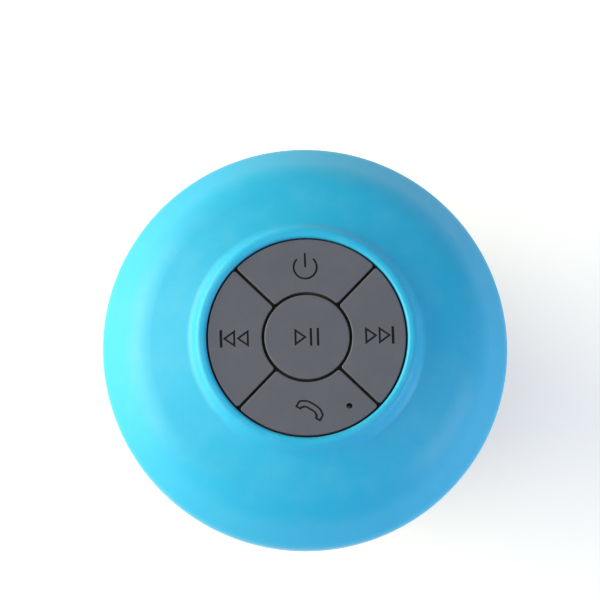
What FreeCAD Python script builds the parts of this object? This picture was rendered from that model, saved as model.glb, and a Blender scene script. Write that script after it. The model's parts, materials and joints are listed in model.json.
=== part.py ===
"""A round waterproof shower speaker that stands, or hangs on a wall, on a suction cup.

The frame: millimetres, origin at the centre of the suction cup's lip plane, +Z along the speaker's
axis out of the keypad, +Y towards the power key.  The driver faces down into a shallow sound chamber
with slots round its wall; the keypad module hangs under the front shell.
"""

import FreeCAD
import Part
import math
import os

import Sketcher

Vector = FreeCAD.Vector

# Driving sizes: name, value in millimetres (or a count), what it sets
SIZE_TABLE = [
    # front shell
    ("rim_radius", 43.0, "front shell, widest radius"),
    ("rim_depth", 5.4, "from the rim's shoulder down to the front shell's lower edge"),
    ("shoulder_drop", 8.6, "from the flare's corner down to the rim's shoulder"),
    ("rim_shoulder_round", 4.0, "rounding of that corner"),
    ("rim_edge_round", 1.2, "rounding of the rim's lower edge"),
    ("rim_wall", 1.65, "thickness of the rim's skirt"),
    ("steep_width", 6.7, "width of the steep part of the flare"),
    ("flare_drop", 4.6, "from the collar's foot down to the flare's corner"),
    ("flare_round", 14.0, "rounding of that corner"),
    ("collar_width", 1.9, "width of the raised collar"),
    ("collar_rise", 0.4, "how far the collar stands above the keys"),
    ("collar_foot_out", 1.2, "how far the collar's foot stands out from its crest"),
    ("collar_drop", 2.2, "from the collar's crest down to its foot"),
    ("collar_inner_round", 0.7, "rounding inside the crest"),
    ("collar_outer_round", 1.4, "rounding outside the crest"),
    ("collar_foot_round", 2.5, "hollow between collar and flare"),
    ("front_wall", 2.2, "thickness of the front shell"),
    ("land_gap", 0.3, "gap inside the rear shell's upper edge"),
    ("land_drop", 5.3, "from the flare's corner down to where the wall's inside meets the land"),
    ("inner_corner", 3.2, "from the flare's corner in to the corner inside it"),
    ("inner_corner_round", 6, "rounding of that corner"),
    ("carrier_screw_depth", 2.3, "hole for a carrier screw in its boss"),
    # keypad
    ("key_thickness", 2.2, "thickness of a key cap"),
    ("key_travel", 0.4, "how far a key goes down"),
    ("key_float", 0.2, "gap left under a key that is pressed home"),
    ("key_gap", 0.5, "gap between neighbouring keys"),
    ("keys_radius", 20.55, "outer radius of the ring of keys"),
    ("aperture_gap", 0.35, "gap between the keys and the collar"),
    ("centre_key_radius", 8.86, "radius of the play key"),
    ("key_corner", 0.6, "rounding of a key's upright corners"),
    ("key_edge", 0.3, "rounding of a key's top edge"),
    ("key_inset", 5.9, "from the keys' outer edge in to their posts and icons"),
    ("post_radius", 1.6, "radius of the post under a key"),
    ("guide_gap", 0.2, "gap round a post in the carrier"),
    ("icon_depth", 0.35, "depth of the icons sunk into the keys"),
    ("icon_stroke", 0.42, "width of an icon's thin lines"),
    ("icon_height", 3.7, "height of the arrow and pause icons"),
    ("arrow_length", 2.6, "length of one arrow"),
    ("power_ring", 2.4, "mid radius of the power icon"),
    ("handset_unit", 0.69, "scale of the handset icon"),
    ("handset_x", 0.4, "handset icon, across"),
    ("handset_up", 0.35, "handset icon, out from the key's post"),
    ("mic_x", 8.35, "microphone hole, across"),
    ("mic_y", -14.6, "microphone hole, along"),
    ("mic_hole_radius", 0.65, "microphone hole"),
    ("web_gap", 0.12, "gap between a key and the web beside it"),
    ("web_sink", 1.1, "how far the web lies below the key faces"),
    ("web_flange", 0.8, "thickness of the web's clamped edge"),
    ("web_side_gap", 0.1, "gap between the web and the collar's bore"),
    # carrier and board
    ("clamp_width", 1.5, "width of the clamped edge of web and carrier"),
    ("carrier_plate", 1.2, "thickness of that plate"),
    ("carrier_gap", 0.2, "gap round the carrier in the front shell"),
    ("carrier_skirt", 1.2, "thickness of the carrier's skirt"),
    ("flange_edge", 0.7, "carrier's flange outside its pillars"),
    ("carrier_flange", 1.2, "thickness of the flange"),
    ("board_thickness", 1.2, "main board"),
    ("board_gap", 0.4, "gap round the main board in the skirt"),
    ("pilot_floor", 0.9, "plastic left over a board screw's hole"),
    ("microphone_radius", 2.0, "microphone"),
    ("microphone_height", 1.5, "height of the microphone"),
    ("board_drop", 2.6, "from the carrier's plate down to the main board"),
    ("board_screw_place", 12.5, "board screws, distance from the axis"),
    ("carrier_screw_out", 4, "carrier screws, distance outside the carrier"),
    ("small_thread", 0.8, "radius of a small screw's thread"),
    ("small_head", 1.5, "radius of a small screw's head"),
    ("small_head_height", 0.9, "height of a small screw's head"),
    ("small_boss", 2.0, "radius of a small screw's boss"),
    ("screw_hole_gap", 0.15, "gap round a screw where it passes through"),
    ("switch_width", 5.2, "side of a key switch"),
    ("switch_height", 1.6, "height of a key switch's body"),
    ("stem_radius", 1.0, "radius of a switch's stem"),
    ("stem_up", 0.6, "how far a stem stands out of its switch"),
    ("stem_down", 0.8, "how deep a stem reaches into its switch"),
    ("running_gap", 0.06, "gap of a running fit"),
    # driver
    ("chamber_height", 6, "height of the sound chamber under the driver"),
    ("baffle_thickness", 2.0, "baffle"),
    ("roll_gap", 0.1, "gap between the surround's roll and the baffle"),
    ("gasket_thickness", 0.5, "foam ring under the driver"),
    ("surround_thickness", 0.3, "surround's rubber"),
    ("driver_radius", 20.0, "driver's frame"),
    ("basket_flange", 1.2, "thickness of the frame's flange"),
    ("basket_sheet", 0.8, "thickness of the frame's sheet"),
    ("basket_depth", 9.1, "depth of the driver's frame"),
    ("roll_radius", 1.5, "surround's half roll"),
    ("surround_width", 5.3, "from the driver's edge in to the cone"),
    ("cone_paper", 0.4, "thickness of the cone"),
    ("cone_depth", 6.3, "depth of the cone"),
    ("former_radius", 7.1, "inner radius of the coil's former"),
    ("former_wall", 0.2, "thickness of the former"),
    ("former_room", 0.4, "room left over the former at full travel"),
    ("winding_wall", 0.25, "thickness of the winding"),
    ("winding_length", 3.4, "length of the winding"),
    ("spider_inset", 1.2, "from the magnet's edge in to the spider's"),
    ("spider_step", 0.7, "step that the spider's edge is glued to"),
    ("spider_cloth", 0.3, "thickness of the spider"),
    ("magnet_gap", 0.2, "air gap outside the winding"),
    ("plate_inset", 0.8, "from the magnet's edge in to the front plate's"),
    ("top_plate_thickness", 1.6, "front pole plate"),
    ("magnet_radius", 14.0, "radius of the magnet"),
    ("magnet_clear", 1.45, "from the coil's gap out to the magnet"),
    ("magnet_thickness", 2.6, "magnet"),
    ("yoke_inset", 0.4, "from the magnet's edge in to the yoke's"),
    ("yoke_thickness", 1.3, "back pole plate"),
    ("pole_gap", 0.5, "gap inside the former"),
    ("cone_travel", 0.8, "how far the cone moves each way"),
    ("driver_screw_out", 1.1, "driver screws, distance outside the driver"),
    ("driver_boss_height", 2.6, "height of the bosses for the driver's screws"),
    ("driver_pilot_past", 2.0, "driver screw's hole past the baffle"),
    ("terminal_inset", 0.4, "from the driver's edge in to the middle of its terminals"),
    ("terminal_height", 0.8, "height of the driver's terminals"),
    # rear shell
    ("turn_gap", 0.3, "gap over the slip washer, where the cup turns"),
    ("base_inset", 3.2, "from the waist in to the base"),
    ("base_round", 3.0, "rounding of that corner"),
    ("waist_inset", 7.2, "from the rear shell's edge in to its waist"),
    ("waist_rise", 8.5, "from the base up to the waist"),
    ("waist_round", 30.0, "rounding of that corner"),
    ("rear_wall", 2.0, "floor of the rear shell"),
    ("rear_side", 2.35, "rear shell's side, measured across"),
    ("skirt_overlap", 2, "how far the rear shell reaches up inside the front shell"),
    ("shell_gap", 0.15, "gap between the two shells at the rim"),
    ("rim_land", 3.8, "width of the rear shell's upper edge"),
    ("seal_width", 1.3, "rim seal"),
    ("seal_side_gap", 0.1, "gap beside the rim seal in its groove"),
    ("seal_depth", 1.1, "depth of the seal's groove"),
    ("seal_proud", 0.2, "how far the seal stands out of its groove"),
    ("seal_round", 0.3, "rounding of the seal's corners"),
    ("slot_count", 24, "sound slots"),
    ("slot_width", 2.4, "width of a sound slot"),
    ("slot_margin", 0.8, "wall above and below a sound slot"),
    ("mesh_thickness", 0.3, "mesh behind the slots"),
    ("mesh_gap", 0.1, "gap between the mesh and the shell"),
    ("mesh_end_gap", 0.3, "gap above and below the mesh"),
    ("pillar_out", 5.5, "housing screws, distance outside the driver"),
    ("pillar_radius", 3.3, "radius of the pillars round the housing screws"),
    ("pillar_rise", 9.5, "from the baffle up to where the halves of a pillar meet"),
    ("pillar_seat", 4.0, "plastic left under a housing screw's head"),
    ("housing_thread", 1.2, "radius of a housing screw's thread"),
    ("housing_head", 2.2, "radius of a housing screw's head"),
    ("housing_head_height", 1.6, "height of a housing screw's head"),
    ("head_gap", 0.2, "gap round a housing screw's head in its well"),
    ("housing_screw_length", 11.0, "length of a housing screw under its head"),
    ("screw_end_gap", 1.0, "free hole past the end of a screw"),
    # charging socket and its cover
    ("charge_post_height", 2.7, "posts under the charging board"),
    ("socket_width", 7.5, "charging socket, across"),
    ("socket_thickness", 2.6, "charging socket, high"),
    ("socket_depth", 5.2, "charging socket, deep"),
    ("socket_wall", 0.35, "thickness of the socket's shell"),
    ("port_wall", 2.2, "wall behind that floor"),
    ("port_width", 13.0, "port's recess, across"),
    ("port_sill", 1.9, "from the baffle up to the port's recess"),
    ("port_head", 2, "recess above the charging socket"),
    ("port_block_side", 2.2, "wall beside the recess"),
    ("cover_gap", 0.3, "gap round the cover"),
    ("cover_seat_gap", 0.3, "gap behind the cover"),
    ("hinge_rise", 0.8, "cover's hinge axis above the recess's lower side"),
    ("hinge_radius", 0.9, "radius of the cover's rolled edge"),
    ("hinge_scoop", 2.05, "radius of the hollow that clears the cover's heel"),
    ("nub_radius", 0.4, "radius of the cover's pivot nubs"),
    ("nub_length", 0.8, "length of a pivot nub"),
    ("charge_board_thickness", 0.8, "charging board"),
    ("charge_board_width", 15.0, "charging board, across"),
    ("charge_board_depth", 9.0, "charging board, deep"),
    # suction cup
    ("cup_radius", 30.0, "radius of the cup's lip"),
    ("cup_lip", 1.0, "width of the lip's flat"),
    ("cup_top", 14.0, "upper face of the cup's neck"),
    ("cup_neck_radius", 11.0, "radius of the neck"),
    ("cup_hollow", 6.8, "height of the hollow under the cup"),
    ("cup_wall", 2.4, "thickness of the cup's flare"),
    ("stud_flange_radius", 8.0, "stud's flange, moulded into the neck"),
    ("cup_floor", 2.7, "rubber between the hollow and the stud"),
    ("tab_width", 9.0, "width of the peel tab at the lip"),
    ("tab_tip", 8.0, "width of the peel tab at its tip"),
    ("tab_round", 2.5, "rounding of the peel tab's tip"),
    ("tab_reach", 5.0, "how far the peel tab stands out of the lip"),
    ("tab_overlap", 1.2, "how far the peel tab reaches into the lip"),
    ("tab_thickness", 1.0, "thickness of the peel tab"),
    ("stud_flange", 1.5, "thickness of that flange"),
    ("stud_radius", 4.0, "stud's shank"),
    ("socket_boss_radius", 6.8, "boss that the stud turns in"),
    ("socket_boss_rise", 4, "height of that boss above the floor"),
    ("clip_thickness", 0.7, "clip that keeps the stud in"),
    ("clip_groove", 3.2, "radius of the stud at the clip's groove"),
    ("clip_radius", 5.6, "outer radius of the clip"),
    ("stud_tip", 0.65, "stud above the clip's groove"),
    ("washer_inset", 1.5, "from the cup's neck in to the slip washer's edge"),
    ("washer_thickness", 0.2, "slip washer"),
    # battery and wires
    ("battery_length", 30.0, "battery, along X"),
    ("battery_width", 20.0, "battery, along Y"),
    ("battery_thickness", 4.4, "battery"),
    ("tape_thickness", 0.5, "foam tape under the battery"),
    ("tape_side", 17.0, "side of the foam tape"),
    ("board_clearance", 2.4, "room between the battery and the main board"),
    ("wire_radius", 0.45, "radius of an insulated wire"),
    ("wire_pitch", 1.5, "distance between two wires"),
    ("connector_height", 1.8, "height of a wire connector"),
    ("chip_height", 0.9, "height of the chips on the main board"),
]

COS45 = math.sqrt(0.5)
HANDSET_TILT = 32.5  # degrees that the handset icon is tipped


class Size:
    """A length that knows both its number and the spreadsheet formula that gives it."""

    def __init__(self, value, formula):
        self.value = value
        self.formula = formula

    @staticmethod
    def of(other):
        return other if isinstance(other, Size) else Size(float(other), f"{float(other):.9g}")

    def __add__(self, other):
        other = Size.of(other)
        return Size(self.value + other.value, f"({self.formula} + {other.formula})")

    def __sub__(self, other):
        other = Size.of(other)
        return Size(self.value - other.value, f"({self.formula} - {other.formula})")

    def __mul__(self, other):
        other = Size.of(other)
        return Size(self.value * other.value, f"({self.formula} * {other.formula})")

    def __truediv__(self, other):
        other = Size.of(other)
        return Size(self.value / other.value, f"({self.formula} / {other.formula})")

    def __neg__(self):
        return Size(-self.value, f"(0 - {self.formula})")

    def root(self):
        return Size(math.sqrt(self.value), f"sqrt({self.formula})")

    def __radd__(self, other):
        return Size.of(other) + self

    def __rsub__(self, other):
        return Size.of(other) - self

    def __rmul__(self, other):
        return Size.of(other) * self


def larger(first, second):
    """The larger of two sizes, whichever it is after a change."""
    return Size(max(first.value, second.value), f"max({first.formula}; {second.formula})")


class Sheet:
    """The document's spreadsheet: each row is a name, a plain number and a note."""

    def __init__(self, doc, table):
        self.sheet = doc.addObject("Spreadsheet::Sheet", "Sizes")
        for row, (name, value, note) in enumerate(table, start=1):
            self.sheet.set(f"A{row}", name)
            self.sheet.set(f"B{row}", f"{value:g}")
            self.sheet.set(f"C{row}", note)
            self.sheet.setAlias(f"B{row}", name)
        doc.recompute()

    def __getattr__(self, name):
        return Size(float(self.sheet.get(name)), f"Sizes.{name}")


doc = FreeCAD.newDocument("shower_speaker")
s = Sheet(doc, SIZE_TABLE)
subparts = []


# Bodies, sketches and features
def new_body(label, many=False):
    body = doc.addObject("PartDesign::Body", label)
    body.Label = label
    body.AllowCompound = many
    subparts.append(body)
    return body


def origin_feature(body, role):
    return next(o for o in body.Origin.OriginFeatures if o.Role == role)


class Drawing:
    """A sketch on one of a body's origin planes, whose every size is bound to the sheet.

    On XZ_Plane the sketch runs along X and Z and its normal is -Y; shift moves the sketch's own
    origin along its two directions and its normal.
    """

    def __init__(self, body, name, plane="XZ_Plane", shift=(0, 0, 0)):
        self.sketch = body.newObject("Sketcher::SketchObject", name)
        self.sketch.AttachmentSupport = (origin_feature(body, plane), [""])
        self.sketch.MapMode = "FlatFace"
        shift = [Size.of(distance) for distance in shift]
        base = Vector(*[distance.value for distance in shift])
        self.sketch.AttachmentOffset = FreeCAD.Placement(base, FreeCAD.Rotation())
        for axis, distance in zip("xyz", shift):
            if "Sizes." in distance.formula:
                self.sketch.setExpression(f"AttachmentOffset.Base.{axis}", distance.formula)

    def hold(self, kind, size, *places):
        """One dimension, bound to its formula."""
        size = Size.of(size)
        number = self.sketch.addConstraint(Sketcher.Constraint(kind, *places, size.value))
        name = f"{kind.lower()}{number}"
        self.sketch.renameConstraint(number, name)
        self.sketch.setExpression(f"Constraints.{name}", size.formula)

    def place(self, geometry, point, x, y):
        self.hold("DistanceX", x, -1, 1, geometry, point)
        self.hold("DistanceY", y, -1, 1, geometry, point)

    def join(self, kind, *places):
        self.sketch.addConstraint(Sketcher.Constraint(kind, *places))

    def line(self, start, end):
        return self.sketch.addGeometry(Part.LineSegment(Vector(*start, 0), Vector(*end, 0)), False)

    def arc(self, centre, radius, start, end):
        circle = Part.Circle(Vector(*centre, 0), Vector(0, 0, 1), radius)
        return self.sketch.addGeometry(Part.ArcOfCircle(circle, start, end), False)

    def circle(self, x, y, radius):
        x, y, radius = Size.of(x), Size.of(y), Size.of(radius)
        circle = Part.Circle(Vector(x.value, y.value, 0), Vector(0, 0, 1), radius.value)
        number = self.sketch.addGeometry(circle, False)
        self.place(number, 3, x, y)
        self.hold("Radius", radius, number)
        return self

    def outline(self, *corners):
        """A closed outline of straight runs; a corner is (x, y) or, rounded, (x, y, radius)."""
        corners = [[Size.of(part) for part in corner] for corner in corners]
        count = len(corners)
        spots = [Vector(corner[0].value, corner[1].value, 0) for corner in corners]
        ends = []
        for i, corner in enumerate(corners):
            back = (spots[i - 1] - spots[i]).normalize()
            ahead = (spots[(i + 1) % count] - spots[i]).normalize()
            radius = corner[2].value if len(corner) > 2 else 0.0
            half = back.getAngle(ahead) / 2
            trim = radius / math.tan(half)
            middle = (back + ahead).normalize() * (radius / math.sin(half)) if radius else Vector()
            ends.append((spots[i] + back * trim, spots[i] + ahead * trim, spots[i] + middle))
        lines = []
        for i in range(count):
            start, end = ends[i][1], ends[(i + 1) % count][0]
            lines.append(self.line((start.x, start.y), (end.x, end.y)))
        for i, corner in enumerate(corners):
            before, after = lines[i - 1], lines[i]
            if len(corner) == 2:
                self.join("Coincident", before, 2, after, 1)
                self.place(after, 1, corner[0], corner[1])
                continue
            first, last, centre = ends[i]
            angles = [math.atan2(p.y - centre.y, p.x - centre.x) for p in (first, last)]
            turns_left = (first - centre).cross(last - centre).z > 0
            if not turns_left:
                angles.reverse()
            arc = self.arc((centre.x, centre.y), corner[2].value, *angles)
            near, far = (1, 2) if turns_left else (2, 1)
            self.join("Tangent", before, 2, arc, near)
            self.join("Tangent", after, 1, arc, far)
            self.hold("Radius", corner[2], arc)
            point = self.sketch.addGeometry(Part.Point(spots[i]), True)
            self.join("PointOnObject", point, 1, before)
            self.join("PointOnObject", point, 1, after)
            self.place(point, 1, corner[0], corner[1])
        return self

    def rectangle(self, x, y, width, height, corner=None):
        """A rectangle about (x, y)."""
        x, y, width, height = (Size.of(part) for part in (x, y, width, height))
        spots = [(-1, -1), (1, -1), (1, 1), (-1, 1)]
        corners = [(x + width * (i / 2), y + height * (j / 2)) for i, j in spots]
        if corner is not None:
            corners = [(*spot, corner) for spot in corners]
        return self.outline(*corners)

    def stadium(self, x, y, width, height):
        """An upright slot with round ends, about (x, y)."""
        x, y, width, height = (Size.of(part) for part in (x, y, width, height))
        reach = (height - width) / 2
        radius = width.value / 2
        top = self.arc((x.value, (y + reach).value), radius, 0, math.pi)
        foot = self.arc((x.value, (y - reach).value), radius, math.pi, 2 * math.pi)
        sides = []
        for side in (1, -1):
            across = x.value + side * radius
            sides.append(self.line((across, (y + reach).value), (across, (y - reach).value)))
        self.join("Tangent", sides[0], 1, top, 1)
        self.join("Tangent", sides[0], 2, foot, 2)
        self.join("Tangent", sides[1], 1, top, 2)
        self.join("Tangent", sides[1], 2, foot, 1)
        self.hold("Radius", width / 2, top)
        self.join("Equal", top, foot)
        self.place(top, 3, x, y + reach)
        self.place(foot, 3, x, y - reach)
        return self

    def sector(self, offset, inner, outer):
        """A quarter of a ring, centred on +y, whose straight sides keep offset from the diagonals."""
        offset, inner, outer = Size.of(offset), Size.of(inner), Size.of(outer)
        arcs = []
        spots = []
        for radius in (inner, outer):
            turn = math.asin(offset.value / radius.value)
            angles = (math.pi / 4 + turn, 3 * math.pi / 4 - turn)
            arcs.append(self.arc((0, 0), radius.value, *angles))
            spots.append([(radius.value * math.cos(a), radius.value * math.sin(a)) for a in angles])
            self.join("Coincident", arcs[-1], 3, -1, 1)
            self.hold("Radius", radius, arcs[-1])
        for side in (0, 1):
            line = self.line(spots[0][side], spots[1][side])
            self.join("Coincident", line, 1, arcs[0], side + 1)
            self.join("Coincident", line, 2, arcs[1], side + 1)
            angle = math.pi / 4 if side == 0 else 3 * math.pi / 4
            self.sketch.addConstraint(Sketcher.Constraint("Angle", line, angle))
            self.hold("Distance", offset, -1, 1, line)
        return self


def feature(body, kind, name, drawing):
    made = body.newObject(f"PartDesign::{kind}", name)
    made.Profile = (drawing.sketch, [""])
    return made


def volume_of(body):
    return 0.0 if body.Shape.isNull() else body.Shape.Volume


def settle(body, before, adds):
    """Recomputes, and stops if the last feature did nothing or went the wrong way."""
    doc.recompute()
    change = volume_of(body) - before
    if (change if adds else -change) < 1e-6:
        raise RuntimeError(f"{body.Label}: {body.Tip.Name} changed the volume by {change:.6f}")


def revolve(body, drawing, cut=False):
    """Turns the drawing all the way round its own upright axis."""
    before = volume_of(body)
    kind = "Groove" if cut else "Revolution"
    made = feature(body, kind, f"{drawing.sketch.Name}_{kind.lower()}", drawing)
    made.ReferenceAxis = (drawing.sketch, ["V_Axis"])
    made.Angle = 360
    settle(body, before, not cut)
    return made


def extrude(body, drawing, length, cut=False, flip=False):
    """A pad goes along the sketch's normal and a pocket against it, unless flipped."""
    before = volume_of(body)
    kind = "Pocket" if cut else "Pad"
    made = feature(body, kind, f"{drawing.sketch.Name}_{kind.lower()}", drawing)
    made.Reversed = flip
    length = Size.of(length)
    made.Length = length.value
    if "Sizes." in length.formula:
        made.setExpression("Length", length.formula)
    settle(body, before, not cut)
    return made


def repeat(body, made, count, adds=True):
    """Repeats features evenly round the Z axis."""
    before = volume_of(body)
    pattern = body.newObject("PartDesign::PolarPattern", f"{made[-1].Name}_pattern")
    pattern.Originals = made
    pattern.Axis = (origin_feature(body, "Z_Axis"), [""])
    pattern.Angle = 360
    count = Size.of(count)
    pattern.Occurrences = int(count.value)
    if "Sizes." in count.formula:
        pattern.setExpression("Occurrences", count.formula)
    body.Tip = pattern
    settle(body, before, adds)
    return pattern


def soften(body, kind, size, test):
    """Rounds or bevels the edges of the body so far that pass the test."""
    base = body.Tip
    names = [f"Edge{i}" for i, edge in enumerate(base.Shape.Edges, start=1) if test(edge)]
    if not names:
        raise RuntimeError(f"{body.Label}: no edge to soften")
    made = body.newObject(f"PartDesign::{kind}", f"{body.Name}_{kind.lower()}")
    made.Base = (base, names)
    place = "Radius" if kind == "Fillet" else "Size"
    setattr(made, place, size.value)
    made.setExpression(place, size.formula)
    body.Tip = made
    doc.recompute()
    return made


def turned(label, *corners, at=(0, 0), count=1):
    """A piece made by turning one outline about a vertical axis, alone or repeated round Z."""
    body = new_body(label, many=count > 1)
    x, y = Size.of(at[0]), Size.of(at[1])
    drawing = Drawing(body, f"{label}_profile", "XZ_Plane", (x, 0, -y)).outline(*corners)
    made = revolve(body, drawing)
    if count > 1:
        repeat(body, [made], count)
    return body


def block(label, x, y, width, depth, bottom, top, corner=None):
    """A rectangular piece about (x, y), from bottom to top."""
    body = new_body(label)
    drawing = Drawing(body, f"{label}_plan", "XY_Plane", (0, 0, bottom))
    extrude(body, drawing.rectangle(x, y, width, depth, corner), top - bottom)
    return body


def ring_of(inner, outer, bottom, top):
    return (inner, bottom), (outer, bottom), (outer, top), (inner, top)


def screw(label, at, count, seat, end, thread, head, head_height, up=1):
    """Screws with a flat-bottomed cross recess left out of the head's middle by a plain socket."""
    socket, sunk = head * 0.45, head_height * 0.6
    crown = seat - head_height * up
    return turned(
        label,
        (0, crown + sunk * up),
        (socket, crown + sunk * up),
        (socket, crown),
        (head, crown, head_height * 0.35),
        (head, seat),
        (thread, seat),
        (thread, end - thread * 0.5 * up),
        (thread * 0.5, end),
        (0, end),
        at=at,
        count=count,
    )


def level(edge, height):
    """True for an edge that lies in the horizontal plane at that height."""
    return all(abs(v.Z - height) < 1e-6 for v in edge.Vertexes) and abs(
        edge.CenterOfMass.z - height
    ) < 1e-6


def upright(edge):
    a, b = edge.Vertexes[0].Point, edge.Vertexes[-1].Point
    return abs(a.x - b.x) < 1e-6 and abs(a.y - b.y) < 1e-6 and abs(a.z - b.z) > 1e-3


# Heights and radii that several pieces share
# radii
aperture = s.keys_radius + s.aperture_gap
key_place = s.keys_radius - s.key_inset
collar_radius = aperture + s.collar_width
flare_radius = s.rim_radius - s.steep_width
carrier_radius = aperture + s.clamp_width
pocket_radius = carrier_radius + s.carrier_gap
board_radius = carrier_radius - s.carrier_skirt - s.board_gap
carrier_screw_place = carrier_radius + s.carrier_screw_out
pillar_place = s.driver_radius + s.pillar_out
carrier_flange_radius = larger(
    pillar_place + s.pillar_radius + s.flange_edge,
    carrier_screw_place + s.small_boss + s.flange_edge,
)
cone_radius = s.driver_radius - s.surround_width
roll_middle = cone_radius + s.roll_radius + 0.15
baffle_hole = roll_middle + s.roll_radius + s.roll_gap
driver_screw_place = s.driver_radius + s.driver_screw_out
former_outer = s.former_radius + s.former_wall
winding_outer = former_outer + s.winding_wall
gap_radius = winding_outer + s.magnet_gap
magnet_hole = gap_radius + s.magnet_clear
pole_radius = s.former_radius - s.pole_gap
spider_outer = s.magnet_radius - s.spider_inset
top_plate_radius = s.magnet_radius - s.plate_inset
yoke_radius = s.magnet_radius - s.yoke_inset
rear_radius = s.rim_radius - s.rim_wall - s.shell_gap
waist_radius = rear_radius - s.waist_inset
base_radius = waist_radius - s.base_inset
seal_middle = rear_radius - s.rim_land / 2
port_floor = waist_radius
hinge_out = port_floor + s.hinge_radius
washer_radius = s.cup_neck_radius - s.washer_inset

# heights, from the suction cup up to the collar's crest
stud_flange_bottom = s.cup_hollow + s.cup_floor
base_height = s.cup_top + s.washer_thickness + s.turn_gap
floor_top = base_height + s.rear_wall
waist_height = base_height + s.waist_rise
socket_boss_top = floor_top + s.socket_boss_rise
groove_foot = socket_boss_top + s.turn_gap - 0.05
groove_head = groove_foot + s.clip_thickness + 0.1
stud_top = groove_head + s.stud_tip
slot_height = floor_top + s.chamber_height / 2
slot_length = s.chamber_height - s.slot_margin * 2
baffle_under = floor_top + s.chamber_height
baffle_top = baffle_under + s.baffle_thickness
surround_under = baffle_top + s.gasket_thickness
basket_front = surround_under + s.surround_thickness
basket_back = basket_front + s.basket_depth
spider_height = basket_back - s.basket_sheet - s.spider_step - s.spider_cloth
cone_neck_height = basket_front + s.cone_depth
top_plate_top = basket_back + s.top_plate_thickness
magnet_top = top_plate_top + s.magnet_thickness
former_top = magnet_top - s.cone_travel - s.former_room
yoke_top = magnet_top + s.yoke_thickness
battery_bottom = yoke_top + s.tape_thickness
battery_top = battery_bottom + s.battery_thickness
battery_middle = battery_bottom + s.battery_thickness / 2
board_bottom = battery_top + s.board_clearance
board_top = board_bottom + s.board_thickness
flange_top = board_bottom + s.carrier_flange
switch_top = board_top + s.switch_height
stem_top = switch_top + s.stem_up
carrier_under = board_top + s.board_drop
carrier_top = carrier_under + s.carrier_plate
ledge = carrier_top + s.web_flange
key_bottom = carrier_top + s.key_float + s.key_travel
key_top = key_bottom + s.key_thickness
collar_height = key_top + s.collar_rise
collar_foot_height = collar_height - s.collar_drop
flare_height = collar_foot_height - s.flare_drop
rim_shoulder_height = flare_height - s.shoulder_drop
rim_bottom = rim_shoulder_height - s.rim_depth
rear_edge = rim_bottom + 0.2
rear_top = rim_bottom + s.skirt_overlap
seal_bottom = rear_top - s.seal_depth
seal_top = rear_top + s.seal_proud
pillar_joint = baffle_top + s.pillar_rise
socket_height = baffle_top + s.charge_post_height + s.charge_board_thickness
port_bottom = baffle_top + s.port_sill
port_top = socket_height + s.socket_thickness + s.port_head
hinge_height = port_bottom + s.hinge_rise

# places on the boards
protection_depth = Size.of(2.4)
connector_place = board_radius - 2.7
terminal_place = s.driver_radius - s.terminal_inset
charge_screw_x = s.charge_board_width / 2 - 2.0
charge_screw_y = port_floor - s.port_wall - 4.6


def upper_cone(height):
    """Outer radius of the rear shell's upper cone at a height."""
    slope = (rear_radius - waist_radius) / (rear_edge - waist_height)
    return waist_radius + (height - waist_height) * slope


def lower_cone(height):
    """Outer radius of the rear shell's lower cone at a height."""
    slope = (waist_radius - base_radius) / (waist_height - base_height)
    return base_radius + (height - base_height) * slope


def flare(radius):
    """Height of the front shell's shallow flare at a radius, before its rounding."""
    foot = collar_radius + s.collar_foot_out
    slope = (collar_foot_height - flare_height) / (flare_radius - foot)
    return collar_foot_height - (radius - foot) * slope


# Front shell
def front_shell():
    body = new_body("front_shell")
    inner_rise = s.front_wall * 1.07  # the wall measured upright through the sloping flare
    skirt_inner = s.rim_radius - s.rim_wall
    land_inner = rear_radius - s.rim_land - s.land_gap
    corner = flare_radius - s.inner_corner
    profile = Drawing(body, "front_profile").outline(
        (aperture, ledge),
        (aperture, collar_height, s.collar_inner_round),
        (collar_radius, collar_height, s.collar_outer_round),
        (collar_radius + s.collar_foot_out, collar_foot_height, s.collar_foot_round),
        (flare_radius, flare_height, s.flare_round),
        (s.rim_radius, rim_shoulder_height, s.rim_shoulder_round),
        (s.rim_radius, rim_bottom, s.rim_edge_round),
        (skirt_inner, rim_bottom),
        (skirt_inner, seal_top),
        (land_inner, seal_top),
        (land_inner, flare_height - s.land_drop),
        (corner, flare(corner) - inner_rise, s.inner_corner_round),
        (pocket_radius, flare(pocket_radius) - inner_rise),
        (pocket_radius, ledge),
    )
    revolve(body, profile)
    # bosses for the carrier's screws
    boss = Drawing(body, "front_boss", "XY_Plane", (0, 0, flange_top))
    boss.circle(carrier_screw_place, 0, s.small_boss)
    rise = flare(carrier_screw_place) - inner_rise / 2 - flange_top
    made = extrude(body, boss, rise)
    repeat(body, [made], 4)
    hole = Drawing(body, "front_boss_hole", "XY_Plane", (0, 0, flange_top))
    hole.circle(carrier_screw_place, 0, s.small_thread)
    made = extrude(body, hole, s.carrier_screw_depth, cut=True, flip=True)
    repeat(body, [made], 4, adds=False)


# Keypad: five keys, the web between them, the carrier they slide in
def post(body, x, y):
    drawing = Drawing(body, f"{body.Name}_post", "XY_Plane", (0, 0, stem_top))
    extrude(body, drawing.circle(x, y, s.post_radius), key_bottom - stem_top)


def sink_icon(body, drawing):
    extrude(body, drawing, s.icon_depth, cut=True)


def icon_drawing(body, name, x=0, y=0):
    return Drawing(body, f"{body.Name}_{name}", "XY_Plane", (x, y, key_top))


def soften_key(body):
    top = key_top.value
    soften(body, "Fillet", s.key_edge, lambda edge: level(edge, top))


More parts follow.
